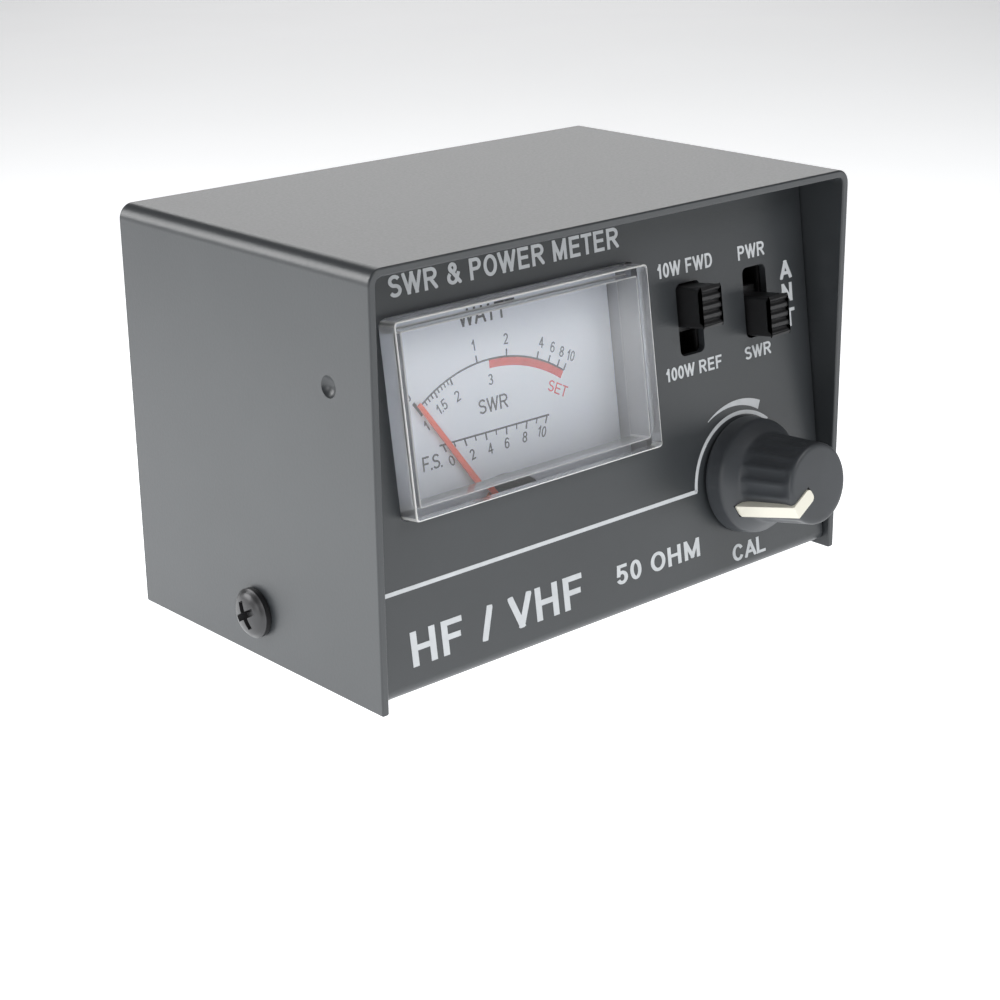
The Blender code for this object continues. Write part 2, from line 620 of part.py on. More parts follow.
def make_potentiometer():
    body = [(BUSHING_RADIUS, 2.6), (BUSHING_RADIUS, -1.5), (8.5, -1.5), (8.5, -10.5), (0, -10.5)]
    bore = [(0, -9.0), (SHAFT_RADIUS + GAP, -9.0), (SHAFT_RADIUS + GAP, 2.6)]
    place = (*KNOB_CENTRE, 0)
    pot = turned("potentiometer_body", [(0, 2.6), *body], PANEL, STEEL, 28, place)
    drill = turned("shaft_bore", [(0, 4), (SHAFT_RADIUS + GAP, 4), *reversed(bore[:2])], PANEL, None, 24, place)
    change(pot, drill)
    shaft = [(0, 12.0), (SHAFT_RADIUS, 12.0), (SHAFT_RADIUS, -8.7), (0, -8.7)]
    turned("potentiometer_shaft", shaft, KNOB_FRAME, NICKEL, 24)
    ring = circle(KNOB_CENTRE, BUSHING_RADIUS + GAP, 24)
    slab("potentiometer_washer", [circle(KNOB_CENTRE, 6.8, 24), ring], 0.3, 0.75, PANEL, NICKEL)
    slab("potentiometer_nut", [circle(KNOB_CENTRE, 6.8, 6), ring], 1.0, 2.6, PANEL, NICKEL)


def make_knob():
    """A skirted knob with a fluted, tapered grip and a light pointer let into its top and side."""
    grip_low, grip_high = GRIP_RADIUS
    profile = [(0, KNOB_TOP), (grip_high - 0.4, KNOB_TOP), (grip_high, KNOB_TOP - 0.4), (grip_low, GRIP_BASE)]
    profile += [(SKIRT_RADIUS - 0.2, 3.3), (SKIRT_RADIUS, KNOB_BASE + 0.3), (SKIRT_RADIUS, KNOB_BASE)]
    profile += [(7.4, KNOB_BASE), (7.4, 3.0), (SHAFT_RADIUS + GAP, 3.0), (SHAFT_RADIUS + GAP, 12.3), (0, 12.3)]
    knob = turned("cal_knob", profile, KNOB_FRAME, BLACK_PLASTIC, 36)
    flutes = bmesh.new()
    flute_radius, bite = 0.85, 0.25
    for index in range(FLUTES):
        angle = 2 * math.pi * (index + 0.5) / FLUTES
        lean = math.atan2(grip_low - grip_high, KNOB_TOP - GRIP_BASE)
        turn = Matrix.Rotation(angle, 4, "Z")
        out = Matrix.Translation(((grip_low + flute_radius - bite) * MM, 0, (GRIP_BASE + 0.6) * MM))
        rise = Matrix.Translation((0, 0, 6.0 * MM))
        place = turn @ out @ Matrix.Rotation(-lean, 4, "Y") @ rise
        bmesh.ops.create_cone(
            flutes, cap_ends=True, segments=10, radius1=flute_radius * MM, radius2=flute_radius * MM,
            depth=12.0 * MM, matrix=place,
        )
    change(knob, as_object("flutes", to_mesh("flutes", flutes), KNOB_FRAME))
    proud, sunk, foot, seam = 0.25, 0.9, 4.3, 0.12
    inlay = [(2.0, KNOB_TOP + proud), (grip_high + proud, KNOB_TOP + proud), (7.85, foot + 0.6), (7.75, foot)]
    inlay += [(6.0, foot), (5.3, KNOB_TOP - sunk), (2.0, KNOB_TOP - sunk)]
    upright = (math.pi / 2, 0, 0)
    half = POINTER_WIDTH / 2
    pointer = slab("knob_pointer", [inlay], -half, half, KNOB_FRAME, CREAM_PLASTIC, rotation=upright)
    soften(pointer, 0.15)
    room = [(2.0 - seam, KNOB_TOP + 2), (7.85 + seam, KNOB_TOP + 2), (7.85 + seam, foot - seam)]
    room += [(6.0 - seam, foot - seam), (5.3 - seam, KNOB_TOP - sunk - seam), (2.0 - seam, KNOB_TOP - sunk - seam)]
    groove = slab("pointer_groove", [room], -half - seam, half + seam, KNOB_FRAME, rotation=upright)
    change(knob, groove)


# ---------------------------------------------------------------- boards and coupler

FIELD_JACK_V = 42.8
FIELD_JACK_H = -16.8


def make_boards():
    back = BOARD_FACE - BOARD_THICKNESS
    box("control_board", (11.5, 8.0, back), (43.8, 56.0, BOARD_FACE), PANEL, BOARD)
    jack_back = back - GAP
    low = (35.0, FIELD_JACK_V - 3.5, FIELD_JACK_H - 3.4)
    jack = box("field_antenna_jack", low, (45.6, FIELD_JACK_V + 3.5, jack_back), PANEL, BLACK_PLASTIC)
    axis = (0, FIELD_JACK_V, FIELD_JACK_H)
    change(jack, rod("jack_collar", axis, 2.6, 44, 47.5, PANEL, axis="X", sides=24), "UNION")
    change(jack, rod("jack_bore", axis, 1.6, 37, 50, PANEL, axis="X", sides=16))

    holes = bmesh.new()
    for x in (-SOCKET_X, SOCKET_X):
        add_rod(holes, (x, SOCKET_Z, 0), 1.6, -20, 0, sides=16)
    tail_holes = as_object("tail_holes", to_mesh("tail_holes", holes), REAR)
    face = COUPLER_FACE
    low = (-36.0, SOCKET_Z - 17, face - BOARD_THICKNESS)
    coupler = box("coupler_board", low, (36.0, SOCKET_Z + 17, face), REAR, BOARD)
    change(coupler, tail_holes)
    near = face - BOARD_THICKNESS - GAP
    line_low = (-SOCKET_X - 2.5, SOCKET_Z - 2.2, near - 0.8)
    line = box("through_line", line_low, (SOCKET_X + 2.5, SOCKET_Z + 2.2, near), REAR, COPPER)
    change(line, tail_holes)
    for sense, sign in (("forward", 1), ("reflected", -1)):
        height = SOCKET_Z + sign * 5.0
        rod(f"{sense}_pickup_line", (0, height, near - 0.6), 0.5, -16, 16, REAR, COPPER, axis="X", sides=10)
        make_axial(f"{sense}_diode", sign * 20.5, SOCKET_Z + sign * 10.0, near, 1.3, 3.8, GLASS)
        make_axial(f"{sense}_load_resistor", -sign * 20.5, SOCKET_Z + sign * 10.0, near, 1.2, 3.2, CREAM_PLASTIC)


def make_axial(name, x, y, near, radius, half_length, material):
    """A diode or a resistor: a body with a lead out of each end, lying on the board."""
    lead, reach = 0.3, 6.0
    profile = [(0, reach), (lead, reach), (lead, half_length), (radius, half_length - 0.3)]
    profile += [(point[0], -point[1]) for point in reversed(profile)]
    turned(name, profile, REAR, material, 12, (x, y, near - radius), (0, math.pi / 2, 0))


# ---------------------------------------------------------------- rear sockets


def make_socket(name, x):
    centre = (x, SOCKET_Z)
    flange = [rectangle(centre, (FLANGE_SIZE, FLANGE_SIZE), 2.5)]
    back = GAP
    shell = slab(f"{name}_socket_shell", flange, back, back + FLANGE_THICKNESS, REAR, NICKEL)
    thread = rod(f"{name}_thread", (*centre, 0), THREAD_RADIUS, back + 0.5, SOCKET_REACH, REAR, sides=40)
    change(shell, thread, "UNION")
    holes = bmesh.new()
    add_rod(holes, (*centre, 0), MOUTH_RADIUS, -2, SOCKET_REACH + 2, sides=32)
    for across in (-1, 1):
        for along in (-1, 1):
            place = (x + across * FLANGE_HOLE, SOCKET_Z + along * FLANGE_HOLE, 0)
            add_rod(holes, place, 1.5 + GAP, -2, 6, sides=16)
    change(shell, as_object(f"{name}_bores", to_mesh("bores", holes), REAR))
    face = SOCKET_REACH - MOUTH_DEPTH
    rings = [circle(centre, MOUTH_RADIUS - GAP, 32), circle(centre, CONTACT_RADIUS + GAP, 24)]
    slab(f"{name}_socket_insulator", rings, -2.5, face, REAR, PTFE)
    tail, tube = 1.2, CONTACT_RADIUS
    profile = [(tube, face), (tube, -4.0), (tail, -4.6), (tail, COUPLER_FACE - 3.4), (0, COUPLER_FACE - 3.4)]
    pin = turned(f"{name}_socket_contact", [(0, face), *profile], REAR, NICKEL, 24, (*centre, 0))
    change(pin, rod(f"{name}_pin_bore", (*centre, 0), 2.0, -1.5, face + 2, REAR, sides=20))
    for end, sign in (("low", -1), ("high", 1)):
        place = (x + sign * FLANGE_HOLE, SOCKET_Z + sign * FLANGE_HOLE, back + FLANGE_THICKNESS + 0.15)
        make_screw(f"{name}_socket_screw_{end}", REAR, place, (0, 0, 0), 2.8, 1.9, 1.5, 6.5, NICKEL)


# ---------------------------------------------------------------- the whole meter

make_cover()
make_chassis()
make_case_fasteners()
make_lens()
make_housing()
make_dial()
make_needle()
make_movement()
make_terminals()
for switch in SLOT_U:
    make_switch(switch)
make_potentiometer()
make_knob()
make_boards()
make_socket("aerial", -SOCKET_X)
make_socket("transmitter", SOCKET_X)
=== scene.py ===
"""The looks of a small SWR and power meter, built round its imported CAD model. Metres; lengths in the
drawing helpers are millimetres. The panel's drawing plane has u to the right, v up the slope and h out."""

import json
import math

import bmesh
import bpy
from mathutils import Matrix, Vector


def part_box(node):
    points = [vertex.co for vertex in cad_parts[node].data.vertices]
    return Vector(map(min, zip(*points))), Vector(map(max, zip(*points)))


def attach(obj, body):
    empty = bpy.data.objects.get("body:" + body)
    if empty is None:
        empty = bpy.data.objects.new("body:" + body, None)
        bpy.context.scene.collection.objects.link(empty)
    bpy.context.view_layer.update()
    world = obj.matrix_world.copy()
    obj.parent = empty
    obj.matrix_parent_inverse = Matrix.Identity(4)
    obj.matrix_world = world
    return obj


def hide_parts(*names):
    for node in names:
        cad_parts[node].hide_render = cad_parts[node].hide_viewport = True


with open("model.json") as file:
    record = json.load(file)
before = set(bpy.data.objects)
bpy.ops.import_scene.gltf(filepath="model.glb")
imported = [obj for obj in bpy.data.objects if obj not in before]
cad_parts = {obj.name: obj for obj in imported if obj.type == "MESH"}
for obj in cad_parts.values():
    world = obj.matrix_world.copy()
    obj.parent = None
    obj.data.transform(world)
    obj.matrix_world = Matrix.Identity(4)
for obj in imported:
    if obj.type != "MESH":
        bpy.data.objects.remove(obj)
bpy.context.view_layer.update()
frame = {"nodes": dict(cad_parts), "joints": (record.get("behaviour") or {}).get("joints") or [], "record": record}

MM = 0.001
CASE_BODY = "case"
NODES = frame["nodes"]
JOINTS = {joint["name"]: joint for joint in frame["joints"]}

# ---------------------------------------------------------------- places

CASE_WIDTH, CASE_DEPTH, CASE_HEIGHT = ((b - a) / MM for a, b in zip(*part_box("top_cover")))
CASE = Matrix.Translation((0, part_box("top_cover")[0].y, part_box("top_cover")[0].z))

KNOB_CENTRE = (28.05, 16.5)
inward = Vector(JOINTS["calibration_turn"]["axis"]).normalized()
up = Vector((1, 0, 0)).cross(inward)
PANEL = Matrix((Vector((1, 0, 0)), up, -inward)).transposed().to_4x4()
knob_offset = PANEL @ Vector((KNOB_CENTRE[0] * MM, KNOB_CENTRE[1] * MM, 0))
PANEL = Matrix.Translation(Vector(JOINTS["calibration_turn"]["pos_m"]) - knob_offset) @ PANEL

REAR_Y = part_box("chassis")[1].y
REAR = Matrix.Translation((0, REAR_Y, CASE.translation.z)) @ Matrix(
    ((-1, 0, 0, 0), (0, 0, 1, 0), (0, 1, 0, 0), (0, 0, 0, 1))
)

SHEET = 1.2
GAP = 0.3
# in the panel's plane
WINDOW_CENTRE = (-15.6, 39.25)
WINDOW_SIZE = (47.4, 27.3)
WINDOW_PROUD = 3.0
LENS_WALL = 1.5
PIVOT = (-16.3, 18.8)
DIAL_FACE = -6.3
SLOT_SIZE = (5.3, 11.0)
SLOT_V = 42.7
# each switch's place across, and how far its lever rests above its slot's middle
SLOTS = {"forward_reflected": (19.15, 2.0), "power_swr": (33.9, -2.0)}
LEVER_SIZE = (4.2, 6.3)
LEVER_PROUD = 4.6
JACK_V, JACK_H = 42.8, -16.8
# on the back
SOCKETS = {"aerial": -22.0, "transmitter": 22.0}
SOCKET_Z = 31.0
SOCKET_BORE = 6.35
FLANGE_SIZE = 25.4
FLANGE_SCREW = 9.1
# on the sides, as y and z
SIDE_SCREW = (28.5, 7.0)
SIDE_SCREW_HOLE = 2.0
DIMPLE = (9.2, 44.8)


def panel_to_case(v, h):
    """The y and z, in the case's own millimetres, of a place in the panel's drawing plane."""
    point = CASE.inverted() @ PANEL @ Vector((0, v * MM, h * MM))
    return point.y / MM, point.z / MM


# ---------------------------------------------------------------- materials


def colour_node(nodes, links, colour, spread, scale, detail):
    """Noise between a darker and a lighter form of the colour."""
    noise = nodes.new("ShaderNodeTexNoise")
    noise.inputs["Scale"].default_value = scale
    noise.inputs["Detail"].default_value = detail
    ramp = nodes.new("ShaderNodeValToRGB")
    ramp.color_ramp.elements[0].position = 0.3
    ramp.color_ramp.elements[1].position = 0.7
    ramp.color_ramp.elements[0].color = (*[part * (1 - spread) for part in colour], 1)
    ramp.color_ramp.elements[1].color = (*[min(1, part * (1 + spread)) for part in colour], 1)
    links.new(noise.outputs["Fac"], ramp.inputs["Fac"])
    return noise, ramp.outputs["Color"]


def finish(name, colour, roughness, metallic=0.0, spread=0.06, patch=8.0, grain=0.25, relief=0.004,
           rough_spread=0.06, alpha=1.0, clear=0.0, specular=0.5, stretch=(1, 1, 1)):
    """A material with slow colour patches (mm), and fine grain (mm) that shows in roughness and relief."""
    material = bpy.data.materials.new(name)
    material.use_nodes = True
    nodes, links = material.node_tree.nodes, material.node_tree.links
    shader = nodes["Principled BSDF"]
    shader.inputs["Metallic"].default_value = metallic
    shader.inputs["Alpha"].default_value = alpha
    shader.inputs["Transmission Weight"].default_value = clear
    shader.inputs["IOR"].default_value = 1.49 if clear else 1.5
    shader.inputs["Specular IOR Level"].default_value = specular
    place = nodes.new("ShaderNodeTexCoord")
    mapping = nodes.new("ShaderNodeMapping")
    mapping.inputs["Scale"].default_value = stretch
    links.new(place.outputs["Object"], mapping.inputs["Vector"])
    slow, tint = colour_node(nodes, links, colour, spread, 1000 / patch, 4)
    links.new(mapping.outputs["Vector"], slow.inputs["Vector"])
    links.new(tint, shader.inputs["Base Color"])
    fine = nodes.new("ShaderNodeTexNoise")
    fine.inputs["Scale"].default_value = 1000 / grain
    fine.inputs["Detail"].default_value = 3
    links.new(mapping.outputs["Vector"], fine.inputs["Vector"])
    sheen = nodes.new("ShaderNodeMapRange")
    sheen.inputs["To Min"].default_value = max(0.02, roughness - rough_spread)
    sheen.inputs["To Max"].default_value = min(1, roughness + rough_spread)
    links.new(fine.outputs["Fac"], sheen.inputs["Value"])
    links.new(sheen.outputs["Result"], shader.inputs["Roughness"])
    bump = nodes.new("ShaderNodeBump")
    bump.inputs["Strength"].default_value = 1.0
    bump.inputs["Distance"].default_value = relief * MM
    links.new(fine.outputs["Fac"], bump.inputs["Height"])
    links.new(bump.outputs["Normal"], shader.inputs["Normal"])
    return material


PAINT = finish(
    "charcoal_paint", (0.037, 0.041, 0.045), 0.36,
    spread=0.05, patch=14, grain=0.45, relief=0.012, specular=0.6,
)
BLACK_STEEL = finish("black_steel", (0.05, 0.05, 0.052), 0.34, 0.5, grain=0.2, relief=0.006)
RUBBER = finish("black_rubber", (0.018, 0.018, 0.018), 0.8, grain=0.2, relief=0.02)
CLEAR = finish(
    "clear_acrylic", (0.97, 0.98, 1.0), 0.02, spread=0.01, rough_spread=0.01, relief=0.0003, clear=1.0
)
# partly painted light: the walls' slight roughness is frost, and their whitish, less clear colour paints the light
# that the walls catch from above
CLEAR_WALL_FROST_AND_SHEEN = finish(
    "acrylic_wall_frost_and_sheen", (0.93, 0.94, 0.97), 0.12, spread=0.02, rough_spread=0.05, relief=0.001, clear=0.72
)
# painted highlight: a whiter, less clear acrylic on the lens's rounded edges stands in for the bright edge lines
# that light makes in it
CLEAR_RIM_PAINTED_HIGHLIGHT = finish(
    "acrylic_rim_painted_highlight", (0.95, 0.95, 0.93), 0.2, spread=0.02, rough_spread=0.05, relief=0.001, clear=0.3
)
GREY_PLASTIC = finish("grey_plastic", (0.34, 0.35, 0.38), 0.5, grain=0.15, relief=0.006)
BLACK_PLASTIC = finish("black_plastic", (0.014, 0.014, 0.015), 0.38, spread=0.12, grain=0.12, relief=0.006)
KNOB_BLACK = finish("knob_black", (0.042, 0.046, 0.052), 0.42, spread=0.12, grain=0.1, relief=0.008)
CREAM_PLASTIC = finish("cream_plastic", (0.86, 0.83, 0.72), 0.4, spread=0.03, grain=0.15, relief=0.004)
DIAL_WHITE = finish("dial_white", (0.86, 0.89, 0.95), 0.55, spread=0.03, patch=6, grain=0.08, relief=0.002)
NEEDLE_RED = finish("needle_red", (1.0, 0.12, 0.06), 0.4, spread=0.06, grain=0.2, relief=0.002)
PRINT_WHITE = finish(
    "print_white", (0.6, 0.62, 0.64), 0.45, spread=0.05, patch=1.5, grain=0.12, relief=0.006
)
PRINT_BLACK = finish(
    "print_black", (0.03, 0.03, 0.035), 0.5, spread=0.15, patch=1.5, grain=0.1, relief=0.003
)
PRINT_RED = finish("print_red", (0.72, 0.07, 0.06), 0.5, spread=0.08, patch=1.5, grain=0.1, relief=0.003)
STEEL = finish("plain_steel", (0.5, 0.5, 0.51), 0.32, 1.0, grain=0.3, relief=0.004, stretch=(1, 1, 12))
NICKEL = finish("nickel_plate", (0.68, 0.66, 0.62), 0.2, 1.0, grain=0.3, relief=0.002)
BRASS = finish("brass", (0.75, 0.55, 0.25), 0.28, 1.0, grain=0.3, relief=0.003)
GOLD = finish("gold_plate", (0.9, 0.68, 0.3), 0.2, 1.0, grain=0.3, relief=0.002)
COPPER = finish("copper", (0.8, 0.4, 0.25), 0.32, 1.0, grain=0.2, relief=0.006)
BOARD = finish("phenolic_board", (0.36, 0.21, 0.09), 0.55, spread=0.12, patch=3, grain=0.2, relief=0.01)
PTFE = finish("white_insulator", (0.86, 0.86, 0.83), 0.5, spread=0.02, grain=0.2, relief=0.004)
GLASS = finish("diode_glass", (0.7, 0.32, 0.12), 0.08, alpha=0.75, relief=0.0005)
MAGNET = finish("magnet", (0.13, 0.13, 0.14), 0.45, 0.7, grain=0.2, relief=0.01)
# painted shade: the switch frames seen through the slots get this near-black steel so that the slots look dark
# with shade
SLOT_SHADE_STEEL = finish("near_black_steel_painted_slot_shade", (0.016, 0.016, 0.017), 0.6, 0.3, grain=0.3, relief=0.006)

CAD_FINISHES = {
    "charcoal_paint": PAINT, "black_steel": BLACK_STEEL, "black_rubber": RUBBER, "clear_acrylic": CLEAR,
    "grey_plastic": GREY_PLASTIC, "black_plastic": BLACK_PLASTIC, "cream_plastic": CREAM_PLASTIC,
    "dial_white": DIAL_WHITE, "needle_red": NEEDLE_RED, "plain_steel": STEEL, "nickel_plate": NICKEL,
    "brass": BRASS, "copper": COPPER, "phenolic_board": BOARD, "white_insulator": PTFE,
    "diode_glass": GLASS, "magnet": MAGNET,
}

for entry in frame["record"]["subparts"]:
    NODES[entry["node"]].data.materials.clear()
    NODES[entry["node"]].data.materials.append(CAD_FINISHES[entry["material_slot"]])
# painted shade: near-black switch frames darken the slots as shade would
for switch in SLOTS:
    NODES[f"{switch}_switch_frame"].data.materials[0] = SLOT_SHADE_STEEL


# ---------------------------------------------------------------- drawing tools, in millimetres


def arc(centre, radius, start, end, steps):
    """Points on a circle from one angle to another, in degrees."""
    angles = [math.radians(start + (end - start) * step / steps) for step in range(steps + 1)]
    return [(centre[0] + radius * math.cos(a), centre[1] + radius * math.sin(a)) for a in angles]


def rectangle(centre, size, radius=0.0, steps=5):
    """A rectangle's outline, anticlockwise, with rounded corners."""
    half_width, half_height = size[0] / 2 - radius, size[1] / 2 - radius
    corners = ((1, 1, 0), (-1, 1, 90), (-1, -1, 180), (1, -1, 270))
    outline = []
    for across, along, turn in corners:
        corner = (centre[0] + across * half_width, centre[1] + along * half_height)
        outline += arc(corner, radius, turn, turn + 90, steps) if radius else [corner]
    return outline


def add_prism(shape, outline, low, high):
    """A solid from low to high along Z with this outline."""
    loops = [[shape.verts.new((x * MM, y * MM, z * MM)) for x, y in outline] for z in (low, high)]
    faces = [shape.faces.new(list(reversed(loops[0]))), shape.faces.new(loops[1])]
    count = len(outline)
    for index in range(count):
        after = (index + 1) % count
        faces.append(shape.faces.new((loops[0][index], loops[0][after], loops[1][after], loops[1][index])))
    bmesh.ops.recalc_face_normals(shape, faces=faces)


def prism(outline, low, high):
    shape = bmesh.new()
    add_prism(shape, outline, low, high)
    return shape


def add_lathe(shape, profile, steps, radius_at=None, centre=(0, 0)):
    """A profile of (radius, height) points turned about Z; radius_at may change a point's radius."""
    rings = []
    for radius, height in profile:
        if radius == 0:
            rings.append([shape.verts.new((centre[0] * MM, centre[1] * MM, height * MM))])
            continue
        ring = []
        for step in range(steps):
            angle = 2 * math.pi * step / steps
            reach = radius_at(radius, height, angle) if radius_at else radius
            x, y = centre[0] + reach * math.cos(angle), centre[1] + reach * math.sin(angle)
            ring.append(shape.verts.new((x * MM, y * MM, height * MM)))
        rings.append(ring)
    if profile[0][0] > 0:
        rings.append(rings[0])
    faces = []
    for here, there in zip(rings, rings[1:]):
        for step in range(steps):
            after = (step + 1) % steps
            if len(here) == 1:
                corners = (here[0], there[after], there[step])
            elif len(there) == 1:
                corners = (here[step], here[after], there[0])
            else:
                corners = (here[step], here[after], there[after], there[step])
            faces.append(shape.faces.new(corners))
    bmesh.ops.recalc_face_normals(shape, faces=faces)


def lathe(profile, steps, **options):
    shape = bmesh.new()
    add_lathe(shape, profile, steps, **options)
    return shape


def bore(radius, low, high, steps, centre=(0, 0)):
    """A plain cylinder to cut a hole with."""
    return lathe([(0, high), (radius, high), (radius, low), (0, low)], steps, centre=centre)


def add_box(shape, low, high):
    low, high = Vector(low) * MM, Vector(high) * MM
    bmesh.ops.create_cube(shape, size=1.0, matrix=Matrix.LocRotScale((low + high) / 2, None, high - low))


def to_object(name, shape, place, material=None):
    """An object whose mesh is in the row's frame; its own origin stays at the row's."""
    bmesh.ops.transform(shape, matrix=place, verts=shape.verts)
    mesh = bpy.data.meshes.new(name)
    shape.to_mesh(mesh)
    shape.free()
    if material:
        mesh.materials.append(material)
    obj = bpy.data.objects.new(name, mesh)
    bpy.context.scene.collection.objects.link(obj)
    return obj


def bake(obj):
    """Applies the modifiers."""
    bpy.context.view_layer.update()
    mesh = bpy.data.meshes.new_from_object(obj.evaluated_get(bpy.context.evaluated_depsgraph_get()))
    obj.modifiers.clear()
    obj.data = mesh


def change(obj, shape, place, operation="DIFFERENCE", solver="EXACT"):
    """Cuts this shape from the piece, or joins it on."""
    tool = to_object("tool", shape, place)
    boolean = obj.modifiers.new("change", "BOOLEAN")
    boolean.operation = operation
    boolean.solver = solver
    boolean.object = tool
    bake(obj)
    bpy.data.objects.remove(tool)


def round_edges(obj, width, segments=3, angle=40):
    bevel = obj.modifiers.new("edges", "BEVEL")
    bevel.width = width * MM
    bevel.segments = segments
    bevel.limit_method = "ANGLE"
    bevel.angle_limit = math.radians(angle)
    bevel.harden_normals = False
    bake(obj)


def shade(obj, angle=35):
    """Smooth edges below this angle, with normals that leave the large faces flat."""
    obj.data.shade_smooth()
    obj.data.set_sharp_from_angle(angle=math.radians(angle))
    weighted = obj.modifiers.new("normals", "WEIGHTED_NORMAL")
    weighted.weight = 100
    weighted.keep_sharp = True
    bake(obj)


def settle(obj, body, slot, *replaced, angle=35):
    """Shades the piece and hangs it on its body."""
    shade(obj, angle)
    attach(obj, body)
    if replaced:
        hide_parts(*replaced)
    return obj


# ---------------------------------------------------------------- lettering


def bow(centre, radii, start, end, steps=10):
    """An elliptic arc."""
    circle = arc((0, 0), 1, start, end, steps)
    return [(centre[0] + radii[0] * x, centre[1] + radii[1] * y) for x, y in circle]


STEM = [(0, 0), (0, 1)]
BOWL = [(0, 1), (0.55, 1), *bow((0.6, 0.75), (0.4, 0.25), 80, -80), (0.55, 0.5), (0, 0.5)]
HALF = (0.5, 0.5)
GLYPHS = {
    # the width of a capital one unit high, then its straight strokes, then its curved ones
    "A": (0.7, [[(0, 0), HALF[:1] + (1,)], [(1, 0), HALF[:1] + (1,)], [(0.2, 0.28), (0.8, 0.28)]], []),
    "C": (0.66, [], [bow(HALF, HALF, 30, 330, 20)]),
    "D": (0.66, [STEM], [[(0, 1), (0.4, 1), *bow((0.45, 0.5), (0.55, 0.5), 80, -80), (0.4, 0), (0, 0)]]),
    "E": (0.6, [STEM, [(0, 1), (1, 1)], [(0, 0.52), (0.92, 0.52)], [(0, 0), (1, 0)]], []),
    "F": (0.57, [STEM, [(0, 1), (1, 1)], [(0, 0.5), (0.85, 0.5)]], []),
    "H": (0.66, [STEM, [(1, 0), (1, 1)], [(0, 0.52), (1, 0.52)]], []),
    "L": (0.54, [STEM, [(0, 0), (1, 0)]], []),
    "M": (0.78, [STEM, [(1, 0), (1, 1)], [(0.02, 1), (0.5, 0.05)], [(0.98, 1), (0.5, 0.05)]], []),
    "N": (0.66, [STEM, [(1, 0), (1, 1)], [(0.03, 1), (0.97, 0)]], []),
    "O": (0.72, [], [bow(HALF, HALF, 0, 360, 32)]),
    "P": (0.62, [STEM], [BOWL]),
    "R": (0.68, [STEM, [(0.5, 0.48), (1, 0)]], [BOWL]),
    "S": (
        0.64, [],
        [bow((0.5, 0.755), (0.48, 0.245), 25, 250) + bow((0.5, 0.255), (0.5, 0.255), 70, -155)],
    ),
    "T": (0.62, [[(0, 1), (1, 1)], [(0.5, 0), (0.5, 1)]], []),
    "V": (0.68, [[(0, 1), (0.5, 0)], [(1, 1), (0.5, 0)]], []),
    "W": (
        1.0,
        [[(0, 1), (0.26, 0)], [(0.5, 1), (0.26, 0)], [(0.5, 1), (0.74, 0)], [(1, 1), (0.74, 0)]],
        [],
    ),
    "X": (0.66, [[(0, 0), (1, 1)], [(1, 0), (0, 1)]], []),
    "0": (0.54, [], [bow(HALF, HALF, 0, 360, 28)]),
    "1": (0.36, [[(0.8, 0), (0.8, 1)], [(0.8, 0.97), (0.05, 0.7)]], []),
    "2": (0.54, [], [bow((0.5, 0.72), (0.5, 0.28), 165, -35) + [(0.06, 0.02), (1.12, 0.02)]]),
    "3": (
        0.54, [],
        [bow((0.47, 0.755), (0.45, 0.245), 155, -80), bow((0.5, 0.26), (0.5, 0.26), 95, -158)],
    ),
    "4": (0.56, [[(0.72, 0), (0.72, 1)], [(0.7, 0.98), (0.02, 0.3)], [(0, 0.28), (1, 0.28)]], []),
    "5": (
        0.54,
        [[(0.16, 1), (0.95, 1)], [(0.16, 1), (0.06, 0.48)]],
        [bow((0.48, 0.31), (0.52, 0.31), 140, -158, 14)],
    ),
    "6": (
        0.54, [],
        [bow((0.5, 0.3), (0.5, 0.3), 0, 360, 24), bow((0.56, 0.5), (0.56, 0.5), 42, 200, 14)],
    ),
    "8": (
        0.54, [],
        [bow((0.5, 0.765), (0.42, 0.235), 0, 360, 22), bow((0.5, 0.265), (0.5, 0.265), 0, 360, 24)],
    ),
    "&": (
        0.74,
        [[(0.24, 0.72), (1, 0)]],
        [
            bow((0.42, 0.8), (0.25, 0.2), 0, 360, 20),
            bow((0.37, 0.27), (0.37, 0.27), 125, 320, 16) + [(0.95, 0.55)],
        ],
    ),
    "/": (0.36, [[(0, 0), (1, 1)]], []),
    ".": (0.0, [[(0, 0), (0, 0.02)]], []),
}


def straight_stroke(start, end, pen, width):
    """A stroke with square ends, cut off at the letter's own box."""
    start, end = Vector(start), Vector(end)
    along = (end - start).normalized() * pen / 2
    side = Vector((-along.y, along.x))
    outline = [start - along - side, end + along - side, end + along + side, start - along + side]
    for axis, limit, sense in ((0, 0, 1), (0, width, -1), (1, 0, 1), (1, 1, -1)):
        kept = []
        for here, there in zip(outline, outline[1:] + outline[:1]):
            inside, after = sense * (here[axis] - limit), sense * (there[axis] - limit)
            if inside >= 0:
                kept.append(here)
            if inside * after < 0:
                kept.append(here.lerp(there, inside / (inside - after)))
        outline = kept
    return outline


def curved_stroke(path, pen):
    """The outline, or the two outlines of a closed path, of a pen that follows these points."""
    path = [Vector(point) for point in path]
    closed = (path[0] - path[-1]).length < 1e-6
    points = path[:-1] if closed else path
    sides = ([], [])
    for index, point in enumerate(points):
        before = points[index - 1] if index or closed else None
        after = points[(index + 1) % len(points)] if index + 1 < len(points) or closed else None
        steps = [pair for pair in ((before, point), (point, after)) if None not in pair]
        ways = [(b - a).normalized() for a, b in steps]
        way = sum(ways, Vector((0, 0))).normalized()
        reach = pen / 2 / max(0.5, way.dot(ways[0]))
        normal = Vector((-way.y, way.x)) * reach
        sides[0].append(point + normal)
        sides[1].append(point - normal)
    return sides if closed else [sides[0] + sides[1][::-1]]


